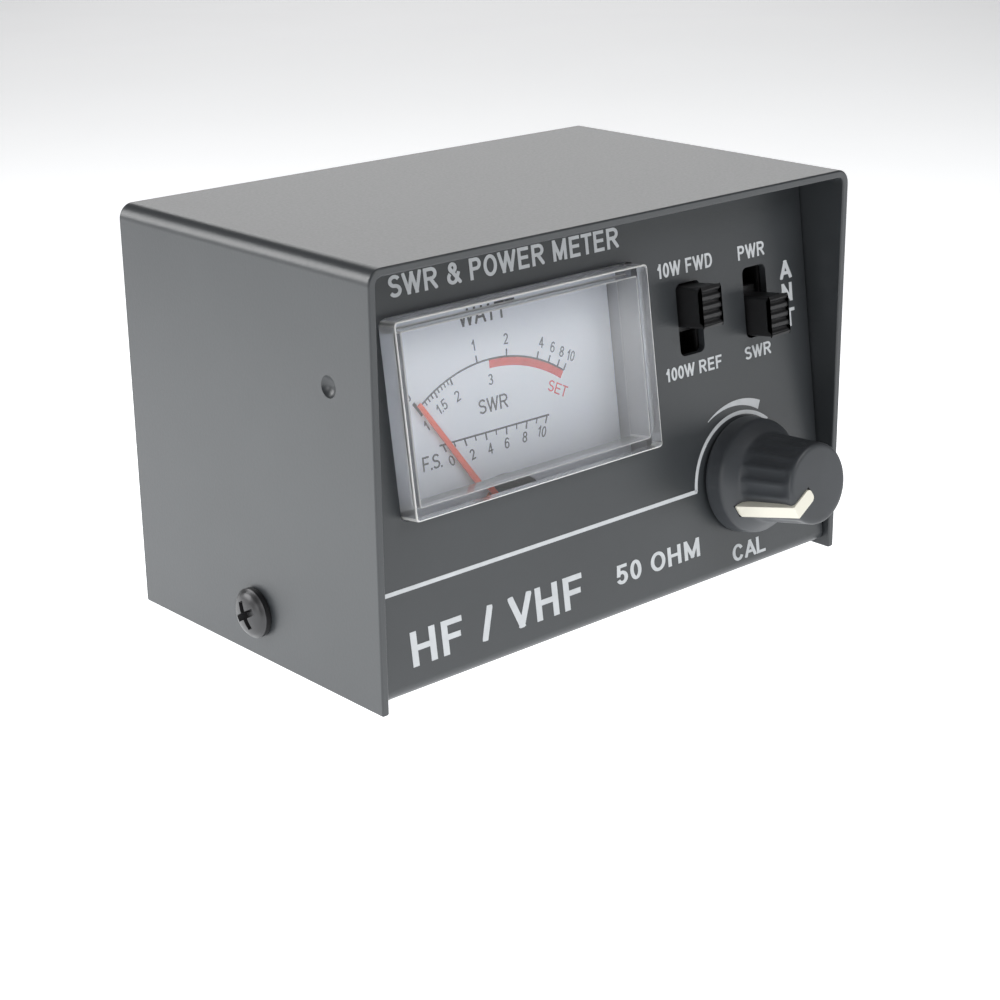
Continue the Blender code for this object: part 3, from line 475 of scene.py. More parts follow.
def add_ring_prism(shape, inner, outer, low, high):
    """A closed band between two outlines with as many points."""
    loops = [[shape.verts.new((x * MM, y * MM, z * MM)) for x, y in line] for line, z in
             ((inner, low), (outer, low), (outer, high), (inner, high))]
    faces = []
    for here, there in zip(loops, loops[1:] + loops[:1]):
        for index in range(len(here)):
            after = (index + 1) % len(here)
            faces.append(shape.faces.new((here[index], here[after], there[after], there[index])))
    bmesh.ops.recalc_face_normals(shape, faces=faces)


glyph_meshes = {}


def glyph_mesh(letter, pen):
    """One letter as a single solid, one unit high and one unit thick."""
    if (letter, pen) in glyph_meshes:
        return glyph_meshes[letter, pen]
    width, straight, curved = GLYPHS[letter]
    room = (max(width - pen, 0), 1 - pen)
    width = max(width, pen)

    def placed(points):
        return [(pen / 2 + x * room[0], pen / 2 + y * room[1]) for x, y in points]

    shapes = []
    for stroke in straight:
        shape = bmesh.new()
        add_prism(shape, straight_stroke(*placed(stroke), pen, width), 0, 1)
        shapes.append(shape)
    for stroke in curved:
        shape = bmesh.new()
        outlines = curved_stroke(placed(stroke), pen)
        if len(outlines) == 2:
            add_ring_prism(shape, *outlines, 0, 1)
        else:
            add_prism(shape, outlines[0], 0, 1)
        shapes.append(shape)
    unscaled = Matrix.Scale(1 / MM, 4)
    letter_object = to_object("letter", shapes[0], unscaled)
    for shape in shapes[1:]:
        change(letter_object, shape, unscaled, "UNION", "MANIFOLD")
    mesh = letter_object.data
    bpy.data.objects.remove(letter_object)
    glyph_meshes[letter, pen] = mesh, width
    return mesh, width


def side_room(letter):
    """The space beside a letter: less by a slanted or an open side."""
    return 0.0 if letter in "AVWTL/." else 0.03 if letter in "COS0368&" else 0.07


WORD_SPACE = 0.34
LETTER_SPACE = 0.03


def add_text(shape, words, centre, size, low, thickness, pen, turn=0.0):
    """Words fitted to a width and a height, in millimetres, turned by some degrees about their centre."""
    letters, reach = bmesh.new(), 0.0
    for index, letter in enumerate(words):
        if letter == " ":
            reach += WORD_SPACE
            continue
        mesh, width = glyph_mesh(letter, pen)
        known = len(letters.verts)
        letters.from_mesh(mesh)
        letters.verts.ensure_lookup_table()
        for vert in letters.verts[known:]:
            vert.co.x += reach
        reach += width
        if index + 1 < len(words):
            reach += side_room(letter) + side_room(words[index + 1]) + LETTER_SPACE
    rotation = Matrix.Rotation(math.radians(turn), 2)
    for vert in letters.verts:
        flat = rotation @ Vector(((vert.co.x / reach - 0.5) * size[0], (vert.co.y - 0.5) * size[1]))
        height = low + thickness * vert.co.z
        vert.co = Vector((centre[0] + flat.x, centre[1] + flat.y, height)) * MM
    mesh = bpy.data.meshes.new("letters")
    letters.to_mesh(mesh)
    letters.free()
    shape.from_mesh(mesh)
    bpy.data.meshes.remove(mesh)


def add_band(shape, centre, inner, outer, start, end, low, thickness, steps=48):
    """A ring's sector; inner and outer are radii at the start and at the end."""
    outline = []
    for radii, order in ((outer, range(steps + 1)), (inner, range(steps, -1, -1))):
        for step in order:
            part = step / steps
            radius = radii[0] + (radii[1] - radii[0]) * part
            angle = math.radians(start + (end - start) * part)
            outline.append((centre[0] + radius * math.cos(angle), centre[1] + radius * math.sin(angle)))
    add_prism(shape, outline, low, low + thickness)


def add_stroke(shape, start, end, width, low, thickness):
    """A straight printed line."""
    start, end = Vector(start), Vector(end)
    side = (end - start).normalized().orthogonal() * width / 2
    outline = [tuple(start + side), tuple(start - side), tuple(end - side), tuple(end + side)]
    add_prism(shape, outline, low, low + thickness)


# ---------------------------------------------------------------- case


def make_cover():
    half, radius = CASE_WIDTH / 2, 2.3
    left = arc((-half + radius, CASE_HEIGHT - radius), radius, 180, 90, 10)
    right = arc((half - radius, CASE_HEIGHT - radius), radius, 90, 0, 10)
    outer = [(-half, 0), *left, *right, (half, 0)]
    inner_radius = radius - SHEET
    inner_right = arc((half - radius, CASE_HEIGHT - radius), inner_radius, 0, 90, 8)
    inner_left = arc((-half + radius, CASE_HEIGHT - radius), inner_radius, 90, 180, 8)
    outline = outer + [(half - SHEET, 0), *inner_right, *inner_left, (-half + SHEET, 0)]
    standing = CASE @ Matrix.Translation((0, CASE_DEPTH * MM, 0)) @ Matrix.Rotation(math.pi / 2, 4, "X")
    cover = to_object("cover_shell", prism(outline, 0, CASE_DEPTH), standing, PAINT)
    round_edges(cover, 0.28, 3, 50)
    across = Matrix.Rotation(math.pi / 2, 4, "Y")
    place = CASE @ Matrix.Translation(Vector((-60, *SIDE_SCREW)) * MM) @ across
    change(cover, bore(SIDE_SCREW_HOLE, 0, 120, 32), place)
    jack_y, jack_z = panel_to_case(JACK_V, JACK_H)
    place = CASE @ Matrix.Translation(Vector((40, jack_y, jack_z)) * MM) @ across
    change(cover, bore(3.0, 0, 20, 40), place)
    dent = [(0, 3.2), (1.7, 3.2), (1.7, 1.2), (1.42, 0.78), (1.05, 0.42), (0.6, 0.2)]
    dent += [(0.2, 0.12), (0, 0.12)]
    for sign in (-1, 1):
        turn = Matrix.Rotation(sign * math.pi / 2, 4, "Y")
        place = CASE @ Matrix.Translation(Vector((sign * (half - 1.0), *DIMPLE)) * MM) @ turn
        change(cover, lathe(dent, 32), place)
    settle(cover, CASE_BODY, "charcoal_paint", "top_cover", angle=30)


def make_chassis():
    """The sloped panel, the floor and the back as one bent sheet, with a tab at each side."""
    half = CASE_WIDTH / 2 - SHEET - GAP
    top = panel_to_case(60.4, 0)
    foot = panel_to_case(1.0 / PANEL[2][1], 0)
    rear = (REAR_Y - CASE.translation.y) / MM
    line = [Vector(point) for point in (top, foot, (rear, foot[1]), (rear, top[1]))]
    outer, inner = [line[0]], []
    sides = [(b - a).normalized() for a, b in zip(line, line[1:])]
    inward_sides = [Vector((-side.y, side.x)) for side in sides]
    inner.append(line[0] + inward_sides[0] * SHEET)
    for index in (1, 2):
        before, after = -sides[index - 1], sides[index]
        opening = before.angle(after) / 2
        to_centre = (before + after).normalized()
        for points, radius in ((outer, SHEET + 0.4), (inner, 0.4)):
            centre = line[index] + to_centre * (SHEET + 0.4) / math.sin(opening)
            first = math.degrees(math.atan2(-inward_sides[index - 1].y, -inward_sides[index - 1].x))
            last = math.degrees(math.atan2(-inward_sides[index].y, -inward_sides[index].x))
            last += 360 if last < first else 0
            points += [Vector(point) for point in arc(centre, radius, first, last, 6)]
    outer.append(line[3])
    inner.append(line[3] + inward_sides[2] * SHEET)
    outline = [tuple(point) for point in outer + inner[::-1]]
    sideways = CASE @ Matrix.Translation((-half * MM, 0, 0)) @ Matrix(
        ((0, 0, 1, 0), (1, 0, 0, 0), (0, 1, 0, 0), (0, 0, 0, 1))
    )
    chassis = to_object("chassis_sheet", prism(outline, 0, 2 * half), sideways, PAINT)
    through = (-3, 3)
    window = [side + 2 * GAP for side in WINDOW_SIZE]
    change(chassis, prism(rectangle(WINDOW_CENTRE, window, 1.2), *through), PANEL)
    for u, _ in SLOTS.values():
        change(chassis, prism(rectangle((u, SLOT_V), SLOT_SIZE, 1.0), *through), PANEL)
    change(chassis, bore(4.8, *through, 40, KNOB_CENTRE), PANEL)
    for x in SOCKETS.values():
        change(chassis, bore(SOCKET_BORE, *through, 48, (x, SOCKET_Z)), REAR)
    for sign in (-1, 1):
        tab = bmesh.new()
        reach = sorted((sign * (half - SHEET), sign * (half - 0.05)))
        add_box(tab, (reach[0], SIDE_SCREW[0] - 7.5, 1.6), (reach[1], SIDE_SCREW[0] + 7.5, 13))
        change(chassis, tab, CASE, "UNION")
    across = Matrix.Rotation(math.pi / 2, 4, "Y")
    place = CASE @ Matrix.Translation(Vector((-60, *SIDE_SCREW)) * MM) @ across
    change(chassis, bore(SIDE_SCREW_HOLE, 0, 120, 24), place)
    round_edges(chassis, 0.14, 2, 50)
    settle(chassis, CASE_BODY, "charcoal_paint", "chassis", angle=30)


def screw_shape(head, height, shank, length):
    """A domed pan head with its shank, standing on Z = 0."""
    dome = [(0, height)]
    for step in range(1, 9):
        angle = math.radians(90 - step * 10)
        dome.append((head * 0.93 * math.cos(angle), height * (0.42 + 0.58 * math.sin(angle))))
    dome += [(head, height * 0.4), (head, height * 0.12), (head * 0.97, 0), (shank, 0)]
    dome += [(shank, -length + shank * 0.5), (shank * 0.5, -length), (0, -length)]
    return lathe(dome, 48)


def recess_shape(head, height):
    """A cross recess that narrows as it goes down."""
    shape = bmesh.new()
    arm, width = head * 0.56, head * 0.13
    half = [(arm, -width), (arm, width), (width, width), (width, arm), (-width, arm), (-width, width)]
    cross = half + [(-x, -y) for x, y in half]
    depths = ((height + 0.6, 1.25), (height * 0.3, 0.7))
    loops = [[shape.verts.new((x * s * MM, y * s * MM, z * MM)) for x, y in cross] for z, s in depths]
    faces = [shape.faces.new(loops[0]), shape.faces.new(loops[1][::-1])]
    for index in range(len(cross)):
        after = (index + 1) % len(cross)
        faces.append(shape.faces.new((loops[1][index], loops[1][after], loops[0][after], loops[0][index])))
    bmesh.ops.recalc_face_normals(shape, faces=faces)
    return shape


def make_screw(name, place, spin, size, material, slot, node):
    """The size is the head's radius and height, then the shank's radius and length."""
    head, height, shank, length = size
    place = place @ Matrix.Rotation(math.radians(spin), 4, "Z")
    screw = to_object(name, screw_shape(head, height, shank, length), place, material)
    change(screw, recess_shape(head, height), place)
    settle(screw, CASE_BODY, slot, node)


def make_case_screws():
    for side, sign in (("left", -1), ("right", 1)):
        seat = Vector((sign * (CASE_WIDTH / 2 + 0.1), *SIDE_SCREW)) * MM
        place = CASE @ Matrix.Translation(seat) @ Matrix.Rotation(sign * math.pi / 2, 4, "Y")
        size = (3.7, 2.2, 1.7, 5.4)
        node = f"cover_screw_{side}"
        make_screw(f"side_screw_{side}", place, 30, size, BLACK_STEEL, "black_steel", node)
    for name, x in SOCKETS.items():
        for end, sign in (("low", -1), ("high", 1)):
            seat = Vector((x + sign * FLANGE_SCREW, SOCKET_Z + sign * FLANGE_SCREW, 2.0)) * MM
            place = REAR @ Matrix.Translation(seat)
            spin = 25 + 40 * sign
            node = f"{name}_socket_screw_{end}"
            size = (2.8, 1.9, 1.5, 6.4)
            make_screw(f"flange_{node}", place, spin, size, NICKEL, "nickel_plate", node)


def make_feet():
    for end in ("front", "rear"):
        for side in ("left", "right"):
            node = f"foot_{end}_{side}"
            low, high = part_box(node)
            middle = (low + high) / 2
            height = (high.z - low.z) / MM
            profile = [(0, height), (4.9, height), (5.0, height - 0.1), (5.0, height - 0.5)]
            profile += [(4.35, 0.6), (4.2, 0.25), (3.95, 0.05), (3.7, 0), (1.6, 0), (1.3, 0.35), (0, 0.4)]
            place = Matrix.Translation((middle.x, middle.y, low.z))
            foot = to_object(f"rubber_{node}", lathe(profile, 56), place, RUBBER)
            settle(foot, CASE_BODY, "black_rubber", node)


# ---------------------------------------------------------------- meter


def make_lens():
    """A clear box window on a flange behind the panel; its walls are a slightly rough acrylic whose whitish colour
    partly paints the light they catch, and its rounded edges carry a painted highlight.
    """
    flange = rectangle((PIVOT[0], 30.5), (51.2, 49.4), 1.5)
    lens = to_object("window_lens", prism(flange, -3.0, -SHEET - GAP), PANEL, CLEAR)
    window = rectangle(WINDOW_CENTRE, WINDOW_SIZE, 0.6)
    change(lens, prism(window, -2.4, WINDOW_PROUD), PANEL, "UNION")
    hollow = rectangle(WINDOW_CENTRE, [side - 2 * LENS_WALL for side in WINDOW_SIZE], 0.3)
    change(lens, prism(hollow, -5, WINDOW_PROUD - LENS_WALL), PANEL)
    round_edges(lens, 0.22, 2, 50)
    lens.data.materials.append(CLEAR_WALL_FROST_AND_SHEEN)
    lens.data.materials.append(CLEAR_RIM_PAINTED_HIGHLIGHT)
    # the rounded edge faces take the painted highlight, and the side walls take the partly painted sheen
    turned = PANEL.to_3x3().inverted()
    for face in lens.data.polygons:
        normal = turned @ face.normal
        facing = max(abs(part) for part in normal)
        if facing < 0.99:
            face.material_index = 2
        elif abs(normal.z) < 0.5:
            face.material_index = 1
    settle(lens, CASE_BODY, "clear_acrylic", "meter_lens", angle=25)


SCALE_RADIUS = 24.2
FULL_SWING = 35.0
WATT_TICKS = (-5.6, 7.6, 21.7, 27.2, 31.7, 35.0)
SWR_TWO, SWR_THREE = -18.3, -0.4
LONG_TICK, SHORT_TICK = 1.1, 0.75
PRINT_THICKNESS = 0.03
DIAL_WORDS = (
    # words, u, v, turn, width, height
    ("0", -31.8, 40.7, 35, 0.85, 1.55), ("1", -19.0, 45.5, 5, 0.6, 1.6), ("2", -12.9, 45.3, -4, 0.85, 1.6),
    ("4", -6.2, 43.5, -12, 0.9, 1.6), ("6", -4.1, 42.4, -17, 0.85, 1.6), ("8", -2.4, 41.4, -21, 0.85, 1.6),
    ("10", -0.7, 40.5, -24, 1.5, 1.6), ("1", -29.0, 36.0, 28, 0.6, 1.6), ("1.5", -25.9, 38.1, 26, 1.9, 1.6),
    ("2", -22.9, 39.0, 17, 0.9, 1.6), ("3", -16.5, 40.1, 0, 0.9, 1.6), ("SWR", -16.5, 36.55, 0, 5.5, 2.1),
    ("WATT", -16.8, 49.85, 0, 9.0, 2.9), ("F.S.", -28.7, 30.75, 0, 3.5, 2.1),
    ("0", -25.2, 30.2, 22, 0.95, 1.6), ("2", -21.3, 30.2, 14, 0.9, 1.6),
    ("4", -17.9, 30.3, 5, 0.9, 1.6), ("6", -14.7, 30.4, -4, 0.9, 1.6),
    ("8", -11.2, 30.5, -13, 0.9, 1.6), ("10", -7.8, 30.6, -20, 1.6, 1.6),
)
FIELD_LINE_V = 32.75


def on_scale(angle, radius):
    """A point of the dial at an angle from the vertical, in degrees to the right."""
    return arc(PIVOT, radius, 90 - angle, 90 - angle, 1)[0]


def make_dial_print():
    black, red = bmesh.new(), bmesh.new()
    low, thick, line, thin_line, pen = DIAL_FACE, PRINT_THICKNESS, 0.26, 0.2, 0.125
    ends = (90 + FULL_SWING, 90 - FULL_SWING)
    inner, outer = SCALE_RADIUS - line / 2, SCALE_RADIUS + line / 2
    add_band(black, PIVOT, (inner, inner), (outer, outer), *ends, low, thick, 72)
    for angle in WATT_TICKS:
        ends_of_tick = on_scale(angle, SCALE_RADIUS), on_scale(angle, SCALE_RADIUS + LONG_TICK)
        add_stroke(black, *ends_of_tick, line, low, thick)
    add_stroke(black, on_scale(-35, SCALE_RADIUS - 1.2), on_scale(-35, SCALE_RADIUS + 1.2), 0.5, low, thick)
    for step in range(1, 11):
        angle = -FULL_SWING + (SWR_TWO + FULL_SWING) * (step / 10) ** 0.93
        long_one = step % 5 == 0
        reach = SCALE_RADIUS - (LONG_TICK if long_one else SHORT_TICK)
        ends_of_tick = on_scale(angle, SCALE_RADIUS), on_scale(angle, reach)
        add_stroke(black, *ends_of_tick, line if long_one else thin_line, low, thick)
    for words, u, v, turn, width, height in DIAL_WORDS:
        add_text(black, words, (u, v), (width, height), low, thick, pen, turn)
    band = (SCALE_RADIUS - 1.3, SCALE_RADIUS - line / 2)
    add_band(red, PIVOT, band[:1] * 2, band[1:] * 2, 90 - SWR_THREE, ends[1], low, thick, 40)
    add_text(red, "SET", (-3.9, 36.2), (3.9, 1.65), low, thick, pen, -28)
    left, right = -26.5, -6.5
    add_stroke(black, (left - 0.6, FIELD_LINE_V), (right + 0.4, FIELD_LINE_V), line, low, thick)
    for step in range(11):
        u = left + (right - left) * step / 10
        drop = SHORT_TICK if step % 2 else LONG_TICK
        lean = (u - PIVOT[0]) * 0.045 * drop
        foot = (u - lean, FIELD_LINE_V - drop)
        add_stroke(black, (u, FIELD_LINE_V), foot, thin_line if step % 2 else line, low, thick)
    for name, shape, material in (("dial_marks", black, PRINT_BLACK), ("dial_band", red, PRINT_RED)):
        settle(to_object(name, shape, PANEL, material), CASE_BODY, "dial_white", angle=60)


# ---------------------------------------------------------------- controls


def make_levers():
    """Each lever's end has five ribs across it."""
    ribs, groove, depth = 5, 0.62, 0.5
    half_width, half_height = LEVER_SIZE[0] / 2, LEVER_SIZE[1] / 2
    pitch = (LEVER_SIZE[1] + groove) / ribs
    outline = [(-half_height, -3.0)]
    for rib in range(ribs):
        left = -half_height + pitch * rib
        right = left + pitch - groove
        outline += [(left, LEVER_PROUD - 0.12), (left + 0.13, LEVER_PROUD)]
        outline += [(right - 0.13, LEVER_PROUD), (right, LEVER_PROUD - 0.12)]
        if rib + 1 < ribs:
            outline += [(right + 0.06, LEVER_PROUD - depth), (right + groove - 0.06, LEVER_PROUD - depth)]
    outline.append((half_height, -3.0))
    sideways = Matrix(((0, 0, 1, 0), (1, 0, 0, 0), (0, 1, 0, 0), (0, 0, 0, 1)))
    for name, (u, offset) in SLOTS.items():
        middle = PANEL @ Matrix.Translation(Vector((u, SLOT_V + offset, 0)) * MM)
        grip = prism(outline, -half_width, half_width)
        lever = to_object(f"{name}_grip", grip, middle @ sideways, BLACK_PLASTIC)
        sides = bmesh.new()
        sides.from_mesh(lever.data)
        back = (middle @ sideways).inverted()
        long_edges = []
        for edge in sides.edges:
            ends = [back @ vert.co / MM for vert in edge.verts]
            if min(abs(end.z) for end in ends) > half_width - 0.01 and (ends[0] - ends[1]).length > 3:
                long_edges.append(edge)
        bmesh.ops.bevel(sides, geom=long_edges, offset=0.5 * MM, segments=4, profile=0.5, affect="EDGES")
        sides.to_mesh(lever.data)
        sides.free()
        round_edges(lever, 0.07, 2, 50)
        slider = bmesh.new()
        add_box(slider, (-3.4, -4.2, -4.0), (3.4, 4.2, -2.3))
        change(lever, slider, middle, "UNION")
        settle(lever, f"{name}_slider", "black_plastic", f"{name}_lever")


KNOB_TOP = 15.2
GRIP_BASE = 5.5
GRIP_RADIUS = (6.9, 6.2)
FLUTES = 18
POINTER_ANGLE = 210


def make_knob():
    def fluted(radius, height, angle):
        if not GRIP_BASE + 0.2 < height or radius < 5.4 or height < 5:
            return radius
        part = (angle * FLUTES / (2 * math.pi)) % 1
        groove = max(0.0, math.cos((part - 0.5) * math.pi * 1.25)) ** 0.8
        from_base, from_top = (height - GRIP_BASE - 0.2) / 0.8, (KNOB_TOP - 0.5 - height) / 1.6
        blend = max(0.0, min(1.0, from_base, from_top))
        return radius - 0.24 * groove * blend * min(1, (radius - 5.4) / 0.5)

    def grip(height):
        part = (height - GRIP_BASE) / (KNOB_TOP - GRIP_BASE)
        return GRIP_RADIUS[0] + (GRIP_RADIUS[1] - GRIP_RADIUS[0]) * part

    profile = [(0, KNOB_TOP), (3.0, KNOB_TOP), (5.3, KNOB_TOP), (5.7, KNOB_TOP - 0.02)]
    profile += [(grip(KNOB_TOP) - 0.22, KNOB_TOP - 0.1), (grip(KNOB_TOP) - 0.05, KNOB_TOP - 0.28)]
    steps = 14
    for step in range(steps + 1):
        height = KNOB_TOP - 0.55 + (GRIP_BASE + 0.2 - KNOB_TOP + 0.55) * step / steps
        profile.append((grip(height), height))
    profile += [(6.98, GRIP_BASE - 0.05), (7.2, GRIP_BASE - 0.25), (8.6, 3.75), (8.85, 3.35), (8.93, 2.8)]
    profile += [(9.05, 1.0), (9.1, 0.75), (9.06, 0.55), (8.95, 0.5), (7.4, 0.5), (7.4, 3.0)]
    profile += [(3.3, 3.0), (3.3, 12.3), (0, 12.3)]
    place = PANEL @ Matrix.Translation((KNOB_CENTRE[0] * MM, KNOB_CENTRE[1] * MM, 0))
    place = place @ Matrix.Rotation(math.radians(POINTER_ANGLE), 4, "Z")
    knob = to_object("control_knob", lathe(profile, FLUTES * 16, radius_at=fluted), place, KNOB_BLACK)
    upright = place @ Matrix.Rotation(math.pi / 2, 4, "X")
    proud, sunk, foot, seam, half = 0.25, 0.9, 4.3, 0.07, 1.1
    bed = KNOB_TOP - sunk
    room = [(2.0 - seam, KNOB_TOP + 2), (7.85 + seam, KNOB_TOP + 2), (7.85 + seam, foot - seam)]
    room += [(6.0 - seam, foot - seam), (5.3 - seam, bed - seam), (2.0 - seam, bed - seam)]
    change(knob, prism(room, -half - seam, half + seam), upright)
    settle(knob, "calibration_control", "black_plastic", "cal_knob", angle=38)
    face = KNOB_TOP + proud
    inlay = [(2.0, face), (GRIP_RADIUS[1] + proud, face), (7.85, foot + 0.6), (7.75, foot)]
    inlay += [(6.0, foot), (5.3, bed), (2.0, bed)]
    pointer = to_object("pointer_inlay", prism(inlay, -half, half), upright, CREAM_PLASTIC)
    ends = bmesh.new()
    ends.from_mesh(pointer.data)
    back = upright.inverted()
    corners = []
    for edge in ends.edges:
        places = [back @ vert.co / MM for vert in edge.verts]
        at_top = all(place.x < 2.01 for place in places)
        at_foot = all(place.y < foot + 0.01 for place in places)
        if abs(places[0].z - places[1].z) < 0.01 and (at_top or at_foot):
            corners.append(edge)
    bmesh.ops.bevel(ends, geom=corners, offset=0.8 * MM, segments=6, profile=0.5, affect="EDGES")
    ends.to_mesh(pointer.data)
    ends.free()
    round_edges(pointer, 0.16, 3, 30)
    settle(pointer, "calibration_control", "cream_plastic", "knob_pointer")


# ---------------------------------------------------------------- printing


def make_panel_print():
    shape = bmesh.new()
    labels = (
        ("SWR & POWER METER", -37.2, 5.6, 55.6, 58.6),
        ("10W FWD", 13.0, 24.8, 49.6, 51.8),
        ("100W REF", 13.0, 25.2, 34.0, 36.0),
        ("PWR", 30.6, 36.6, 49.5, 51.7),
        ("SWR", 30.5, 36.5, 34.0, 36.0),
        ("CAL", 24.2, 31.8, 3.0, 5.7),
        ("HF / VHF", -40.5, -8.0, 5.0, 10.0),
        ("50 OHM", -1.0, 17.0, 6.0, 9.0),
    )
    for words, left, right, bottom, top in labels:
        middle = ((left + right) / 2, (bottom + top) / 2)
        add_text(shape, words, middle, (right - left, top - bottom), 0, PRINT_THICKNESS, 0.165)
    for letter, u, v, width in (("A", 41.2, 46.4, 2.8), ("N", 41.2, 42.8, 2.4), ("T", 41.4, 38.8, 2.5)):
        add_text(shape, letter, (u, v), (width, 2.9), 0, PRINT_THICKNESS, 0.18)
    ring = (27.8, 15.7)
    add_stroke(shape, (-44.8, 16.1), (17.5, 16.1), 0.6, 0, PRINT_THICKNESS)
    add_band(shape, ring, (10.2, 10.2), (10.8, 10.8), 178, 51, 0, PRINT_THICKNESS)
    add_band(shape, ring, (12.4, 11.2), (12.5, 12.65), 122.5, 65.3, 0, PRINT_THICKNESS)
    settle(to_object("panel_print", shape, PANEL, PRINT_WHITE), CASE_BODY, "charcoal_paint", angle=60)
    back = bmesh.new()
    for words, name in (("TX", "transmitter"), ("ANT", "aerial")):
        add_text(back, words, (SOCKETS[name], 50.5), (2.4 * len(words), 3.0), 0, PRINT_THICKNESS, 0.2)
    settle(to_object("rear_print", back, REAR, PRINT_WHITE), CASE_BODY, "charcoal_paint", angle=60)


# ---------------------------------------------------------------- rear sockets and side jack


def make_socket(name, x):
    centre = (x, SOCKET_Z)
    reach, pitch, root = 14.4, 25.4 / 24, 0.62
    flange = prism(rectangle(centre, (FLANGE_SIZE, FLANGE_SIZE), 2.5), 0.3, 1.9)
    shell = to_object(f"{name}_uhf_shell", flange, REAR, NICKEL)

    def threaded(radius, height, angle):
        if radius < 7 or height > reach - 0.5 or height < 3.0:
            return radius
        part = (height / pitch - angle / (2 * math.pi)) % 1
        fade = min(1, (reach - 0.5 - height) / 0.8, (height - 3.0) / 0.8)
        return radius - root * abs(2 * part - 1) * fade

    profile = [(6.35, reach), (7.3, reach), (7.6, reach - 0.12), (7.94, reach - 0.5)]
    count = 76
    profile += [(7.94, reach - 0.5 - (reach - 3.5) * step / count) for step in range(1, count + 1)]
    profile += [(7.94, 2.6), (7.94, 1.0), (6.35, 1.0)]
    change(shell, lathe(profile, 64, radius_at=threaded, centre=centre), REAR, "UNION")
    change(shell, bore(SOCKET_BORE, -5, 20, 64, centre), REAR)
    for across in (-1, 1):
        for along in (-1, 1):
            spot = (x + across * FLANGE_SCREW, SOCKET_Z + along * FLANGE_SCREW)
            change(shell, bore(1.8, -5, 5, 24, spot), REAR)
    notches = bmesh.new()
    for turn in range(4):
        angle = math.radians(45 + 90 * turn)
        turned = Matrix.Rotation(angle, 4, "Z")
        spin = Matrix.Translation((x * MM, SOCKET_Z * MM, 0)) @ turned
        middle = Matrix.Translation(Vector((7.2, 0, reach)) * MM)
        notch = Matrix.Diagonal((0.004, 0.0012, 0.0014, 1))
        bmesh.ops.create_cube(notches, size=1.0, matrix=spin @ middle @ notch)
    change(shell, notches, REAR)
    settle(shell, CASE_BODY, "nickel_plate", f"{name}_socket_shell", angle=40)

    face = reach - 5.0
    ring = [(2.9, face - 0.3), (3.3, face), (5.6, face), (6.05, face - 0.4), (6.05, -2.5), (2.9, -2.5)]
    insulator = to_object(f"{name}_uhf_insulator", lathe(ring, 56, centre=centre), REAR, PTFE)
    settle(insulator, CASE_BODY, "white_insulator", f"{name}_socket_insulator")
    tube = [(0, -1.5), (2.0, -1.5), (2.0, face - 0.2), (2.1, face), (2.4, face), (2.6, face - 0.25)]
    tube += [(2.6, -4.0), (1.2, -4.6), (1.2, -14.1), (0, -14.1)]
    contact = to_object(f"{name}_uhf_contact", lathe(tube, 40, centre=centre), REAR, GOLD)
    slits = bmesh.new()
    for turn in range(2):
        turned = Matrix.Rotation(math.pi / 2 * turn, 4, "Z")
        spin = Matrix.Translation((x * MM, SOCKET_Z * MM, 0)) @ turned
        middle = Matrix.Translation((0, 0, (face - 2.5) * MM))
        slit = Matrix.Diagonal((0.007, 0.0005, 0.0062, 1))
        bmesh.ops.create_cube(slits, size=1.0, matrix=spin @ middle @ slit)
    change(contact, slits, REAR)
    settle(contact, CASE_BODY, "nickel_plate", f"{name}_socket_contact")


def make_side_jack():
    jack = bmesh.new()
    add_box(jack, (35.0, 39.3, -20.2), (45.6, 46.3, -13.1))
    body = to_object("field_jack_body", jack, PANEL, BLACK_PLASTIC)
    round_edges(body, 0.3, 2)
    turn = Matrix.Translation(Vector((0, JACK_V, JACK_H)) * MM) @ Matrix.Rotation(math.pi / 2, 4, "Y")
    collar = [(0, 47.5), (1.9, 47.5), (2.45, 47.4), (2.6, 47.2), (2.6, 44.5), (0, 44.5)]
    change(body, lathe(collar, 40), PANEL @ turn, "UNION")
    change(body, bore(1.6, 37, 50, 32), PANEL @ turn)
    settle(body, CASE_BODY, "black_plastic", "field_antenna_jack")


# ---------------------------------------------------------------- floor, light and camera


# painted light: the floor, though it is no lamp, glows in pools by its own emission, which light the object and
# wash out the floor's shadows: each pool's middle, reach and strength
FLOOR_PAINTED_LIGHT_POOLS = (((-0.16, 0.03, 0), 0.35, 1.5), ((0.4, -0.5, 0), 0.5, 1.9))


def painted_light_pool_node(nodes, links, place, middle, reach, strength):
    """A soft pool of painted light, given as emission strength, that fades with the square of its distance."""
    away = nodes.new("ShaderNodeVectorMath")
    away.operation = "DISTANCE"
    away.inputs[1].default_value = middle
    links.new(place, away.inputs[0])
    last = away.outputs["Value"]
    fade = (("DIVIDE", reach), ("POWER", 2), ("ADD", 1), ("POWER", -2), ("MULTIPLY", strength))
    for operation, value in fade:
        step = nodes.new("ShaderNodeMath")
        step.operation = operation
        step.inputs[1].default_value = value
        links.new(last, step.inputs[0])
        last = step.outputs["Value"]
    return last


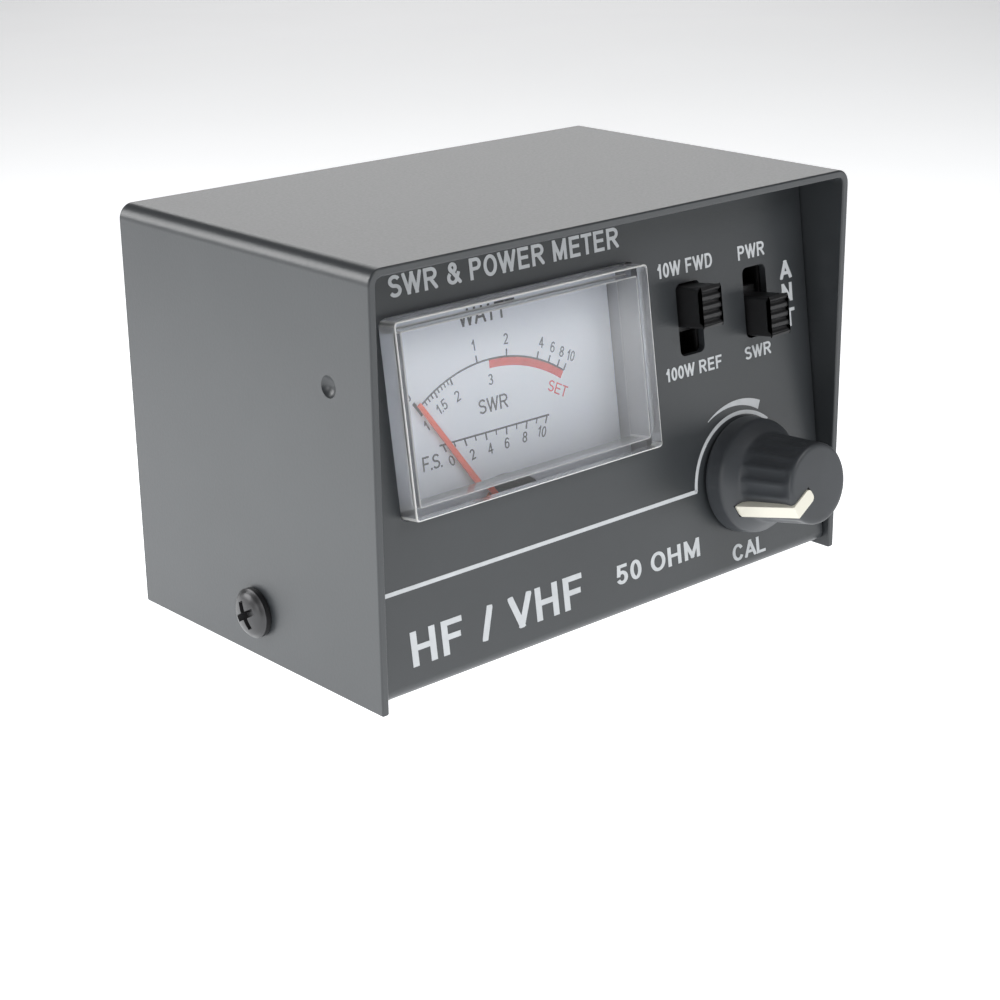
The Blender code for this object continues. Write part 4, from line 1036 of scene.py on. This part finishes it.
def make_floor():
    mesh = bpy.data.meshes.new("floor")
    shape = bmesh.new()
    bmesh.ops.create_grid(shape, x_segments=1, y_segments=1, size=3.0)
    shape.to_mesh(mesh)
    shape.free()
    floor = bpy.data.objects.new("floor", mesh)
    bpy.context.scene.collection.objects.link(floor)
    white = finish("floor_white_painted_glow", (0.86, 0.86, 0.87), 0.6, spread=0.01, patch=60, grain=2, relief=0.0)
    nodes, links = white.node_tree.nodes, white.node_tree.links
    place = nodes["Texture Coordinate"].outputs["Object"]
    total = nodes.new("ShaderNodeMath")
    for socket, (middle, reach, strength) in zip(total.inputs, FLOOR_PAINTED_LIGHT_POOLS):
        links.new(painted_light_pool_node(nodes, links, place, middle, reach, strength), socket)
    shader = nodes["Principled BSDF"]
    # painted light: the floor's emission strength is the sum of the painted light pools
    shader.inputs["Emission Color"].default_value = (0.97, 0.99, 1.0, 1)
    links.new(total.outputs["Value"], shader.inputs["Emission Strength"])
    mesh.materials.append(white)


def add_light(name, place, aim, size, power):
    data = bpy.data.lights.new(name, "AREA")
    data.shape = "RECTANGLE"
    data.size, data.size_y = size
    data.energy = power
    light = bpy.data.objects.new(name, data)
    light.location = place
    light.rotation_euler = (Vector(aim) - Vector(place)).to_track_quat("-Z", "Y").to_euler()
    bpy.context.scene.collection.objects.link(light)


def make_light():
    world = bpy.data.worlds.new("studio")
    world.use_nodes = True
    world.node_tree.nodes["Background"].inputs["Color"].default_value = (1, 1, 1, 1)
    world.node_tree.nodes["Background"].inputs["Strength"].default_value = 0.12
    bpy.context.scene.world = world
    middle = (0, 0, 0.03)
    add_light("back_left", (-0.75, 0.8, 0.5), middle, (0.7, 0.6), 9.0)
    add_light("back_right", (0.65, 0.75, 0.5), middle, (0.7, 0.6), 2.6)
    add_light("left_low", (-0.85, -0.15, 0.25), middle, (0.5, 0.4), 1.6)
    add_light("front_high", (0.25, -0.85, 0.7), middle, (0.5, 0.4), 4.2)


EYE_AZIMUTH, EYE_ELEVATION, EYE_ROLL = -41.66, 19.70, -0.77
EYE_TARGET = (-25.46, 0, 26.0)
EYE_DISTANCE = 0.2918
LENS_LENGTH, SENSOR_WIDTH = 76.26, 36


def make_camera():
    """The eye stands left of the front and a little above, and leans by under a degree."""
    azimuth, elevation, roll = (math.radians(a) for a in (EYE_AZIMUTH, EYE_ELEVATION, EYE_ROLL))
    target = CASE @ (Vector(EYE_TARGET) * MM)
    back = Vector((
        math.sin(azimuth) * math.cos(elevation),
        -math.cos(azimuth) * math.cos(elevation),
        math.sin(elevation),
    ))
    right = Vector((0, 0, 1)).cross(back).normalized()
    above = back.cross(right)
    tilted = right * math.cos(roll) + above * math.sin(roll)
    data = bpy.data.cameras.new("camera")
    data.lens = LENS_LENGTH
    data.sensor_width = SENSOR_WIDTH
    camera = bpy.data.objects.new("camera", data)
    axes = Matrix((tilted, back.cross(tilted), back)).transposed().to_4x4()
    camera.matrix_world = Matrix.Translation(target + back * EYE_DISTANCE) @ axes
    bpy.context.scene.collection.objects.link(camera)
    bpy.context.scene.camera = camera


make_camera()
make_floor()
make_light()
make_cover()
make_chassis()
make_case_screws()
make_feet()
make_lens()
make_dial_print()
make_levers()
make_knob()
make_panel_print()
for socket_name, socket_x in SOCKETS.items():
    make_socket(socket_name, socket_x)
make_side_jack()
bpy.context.scene.view_settings.view_transform = "Standard"
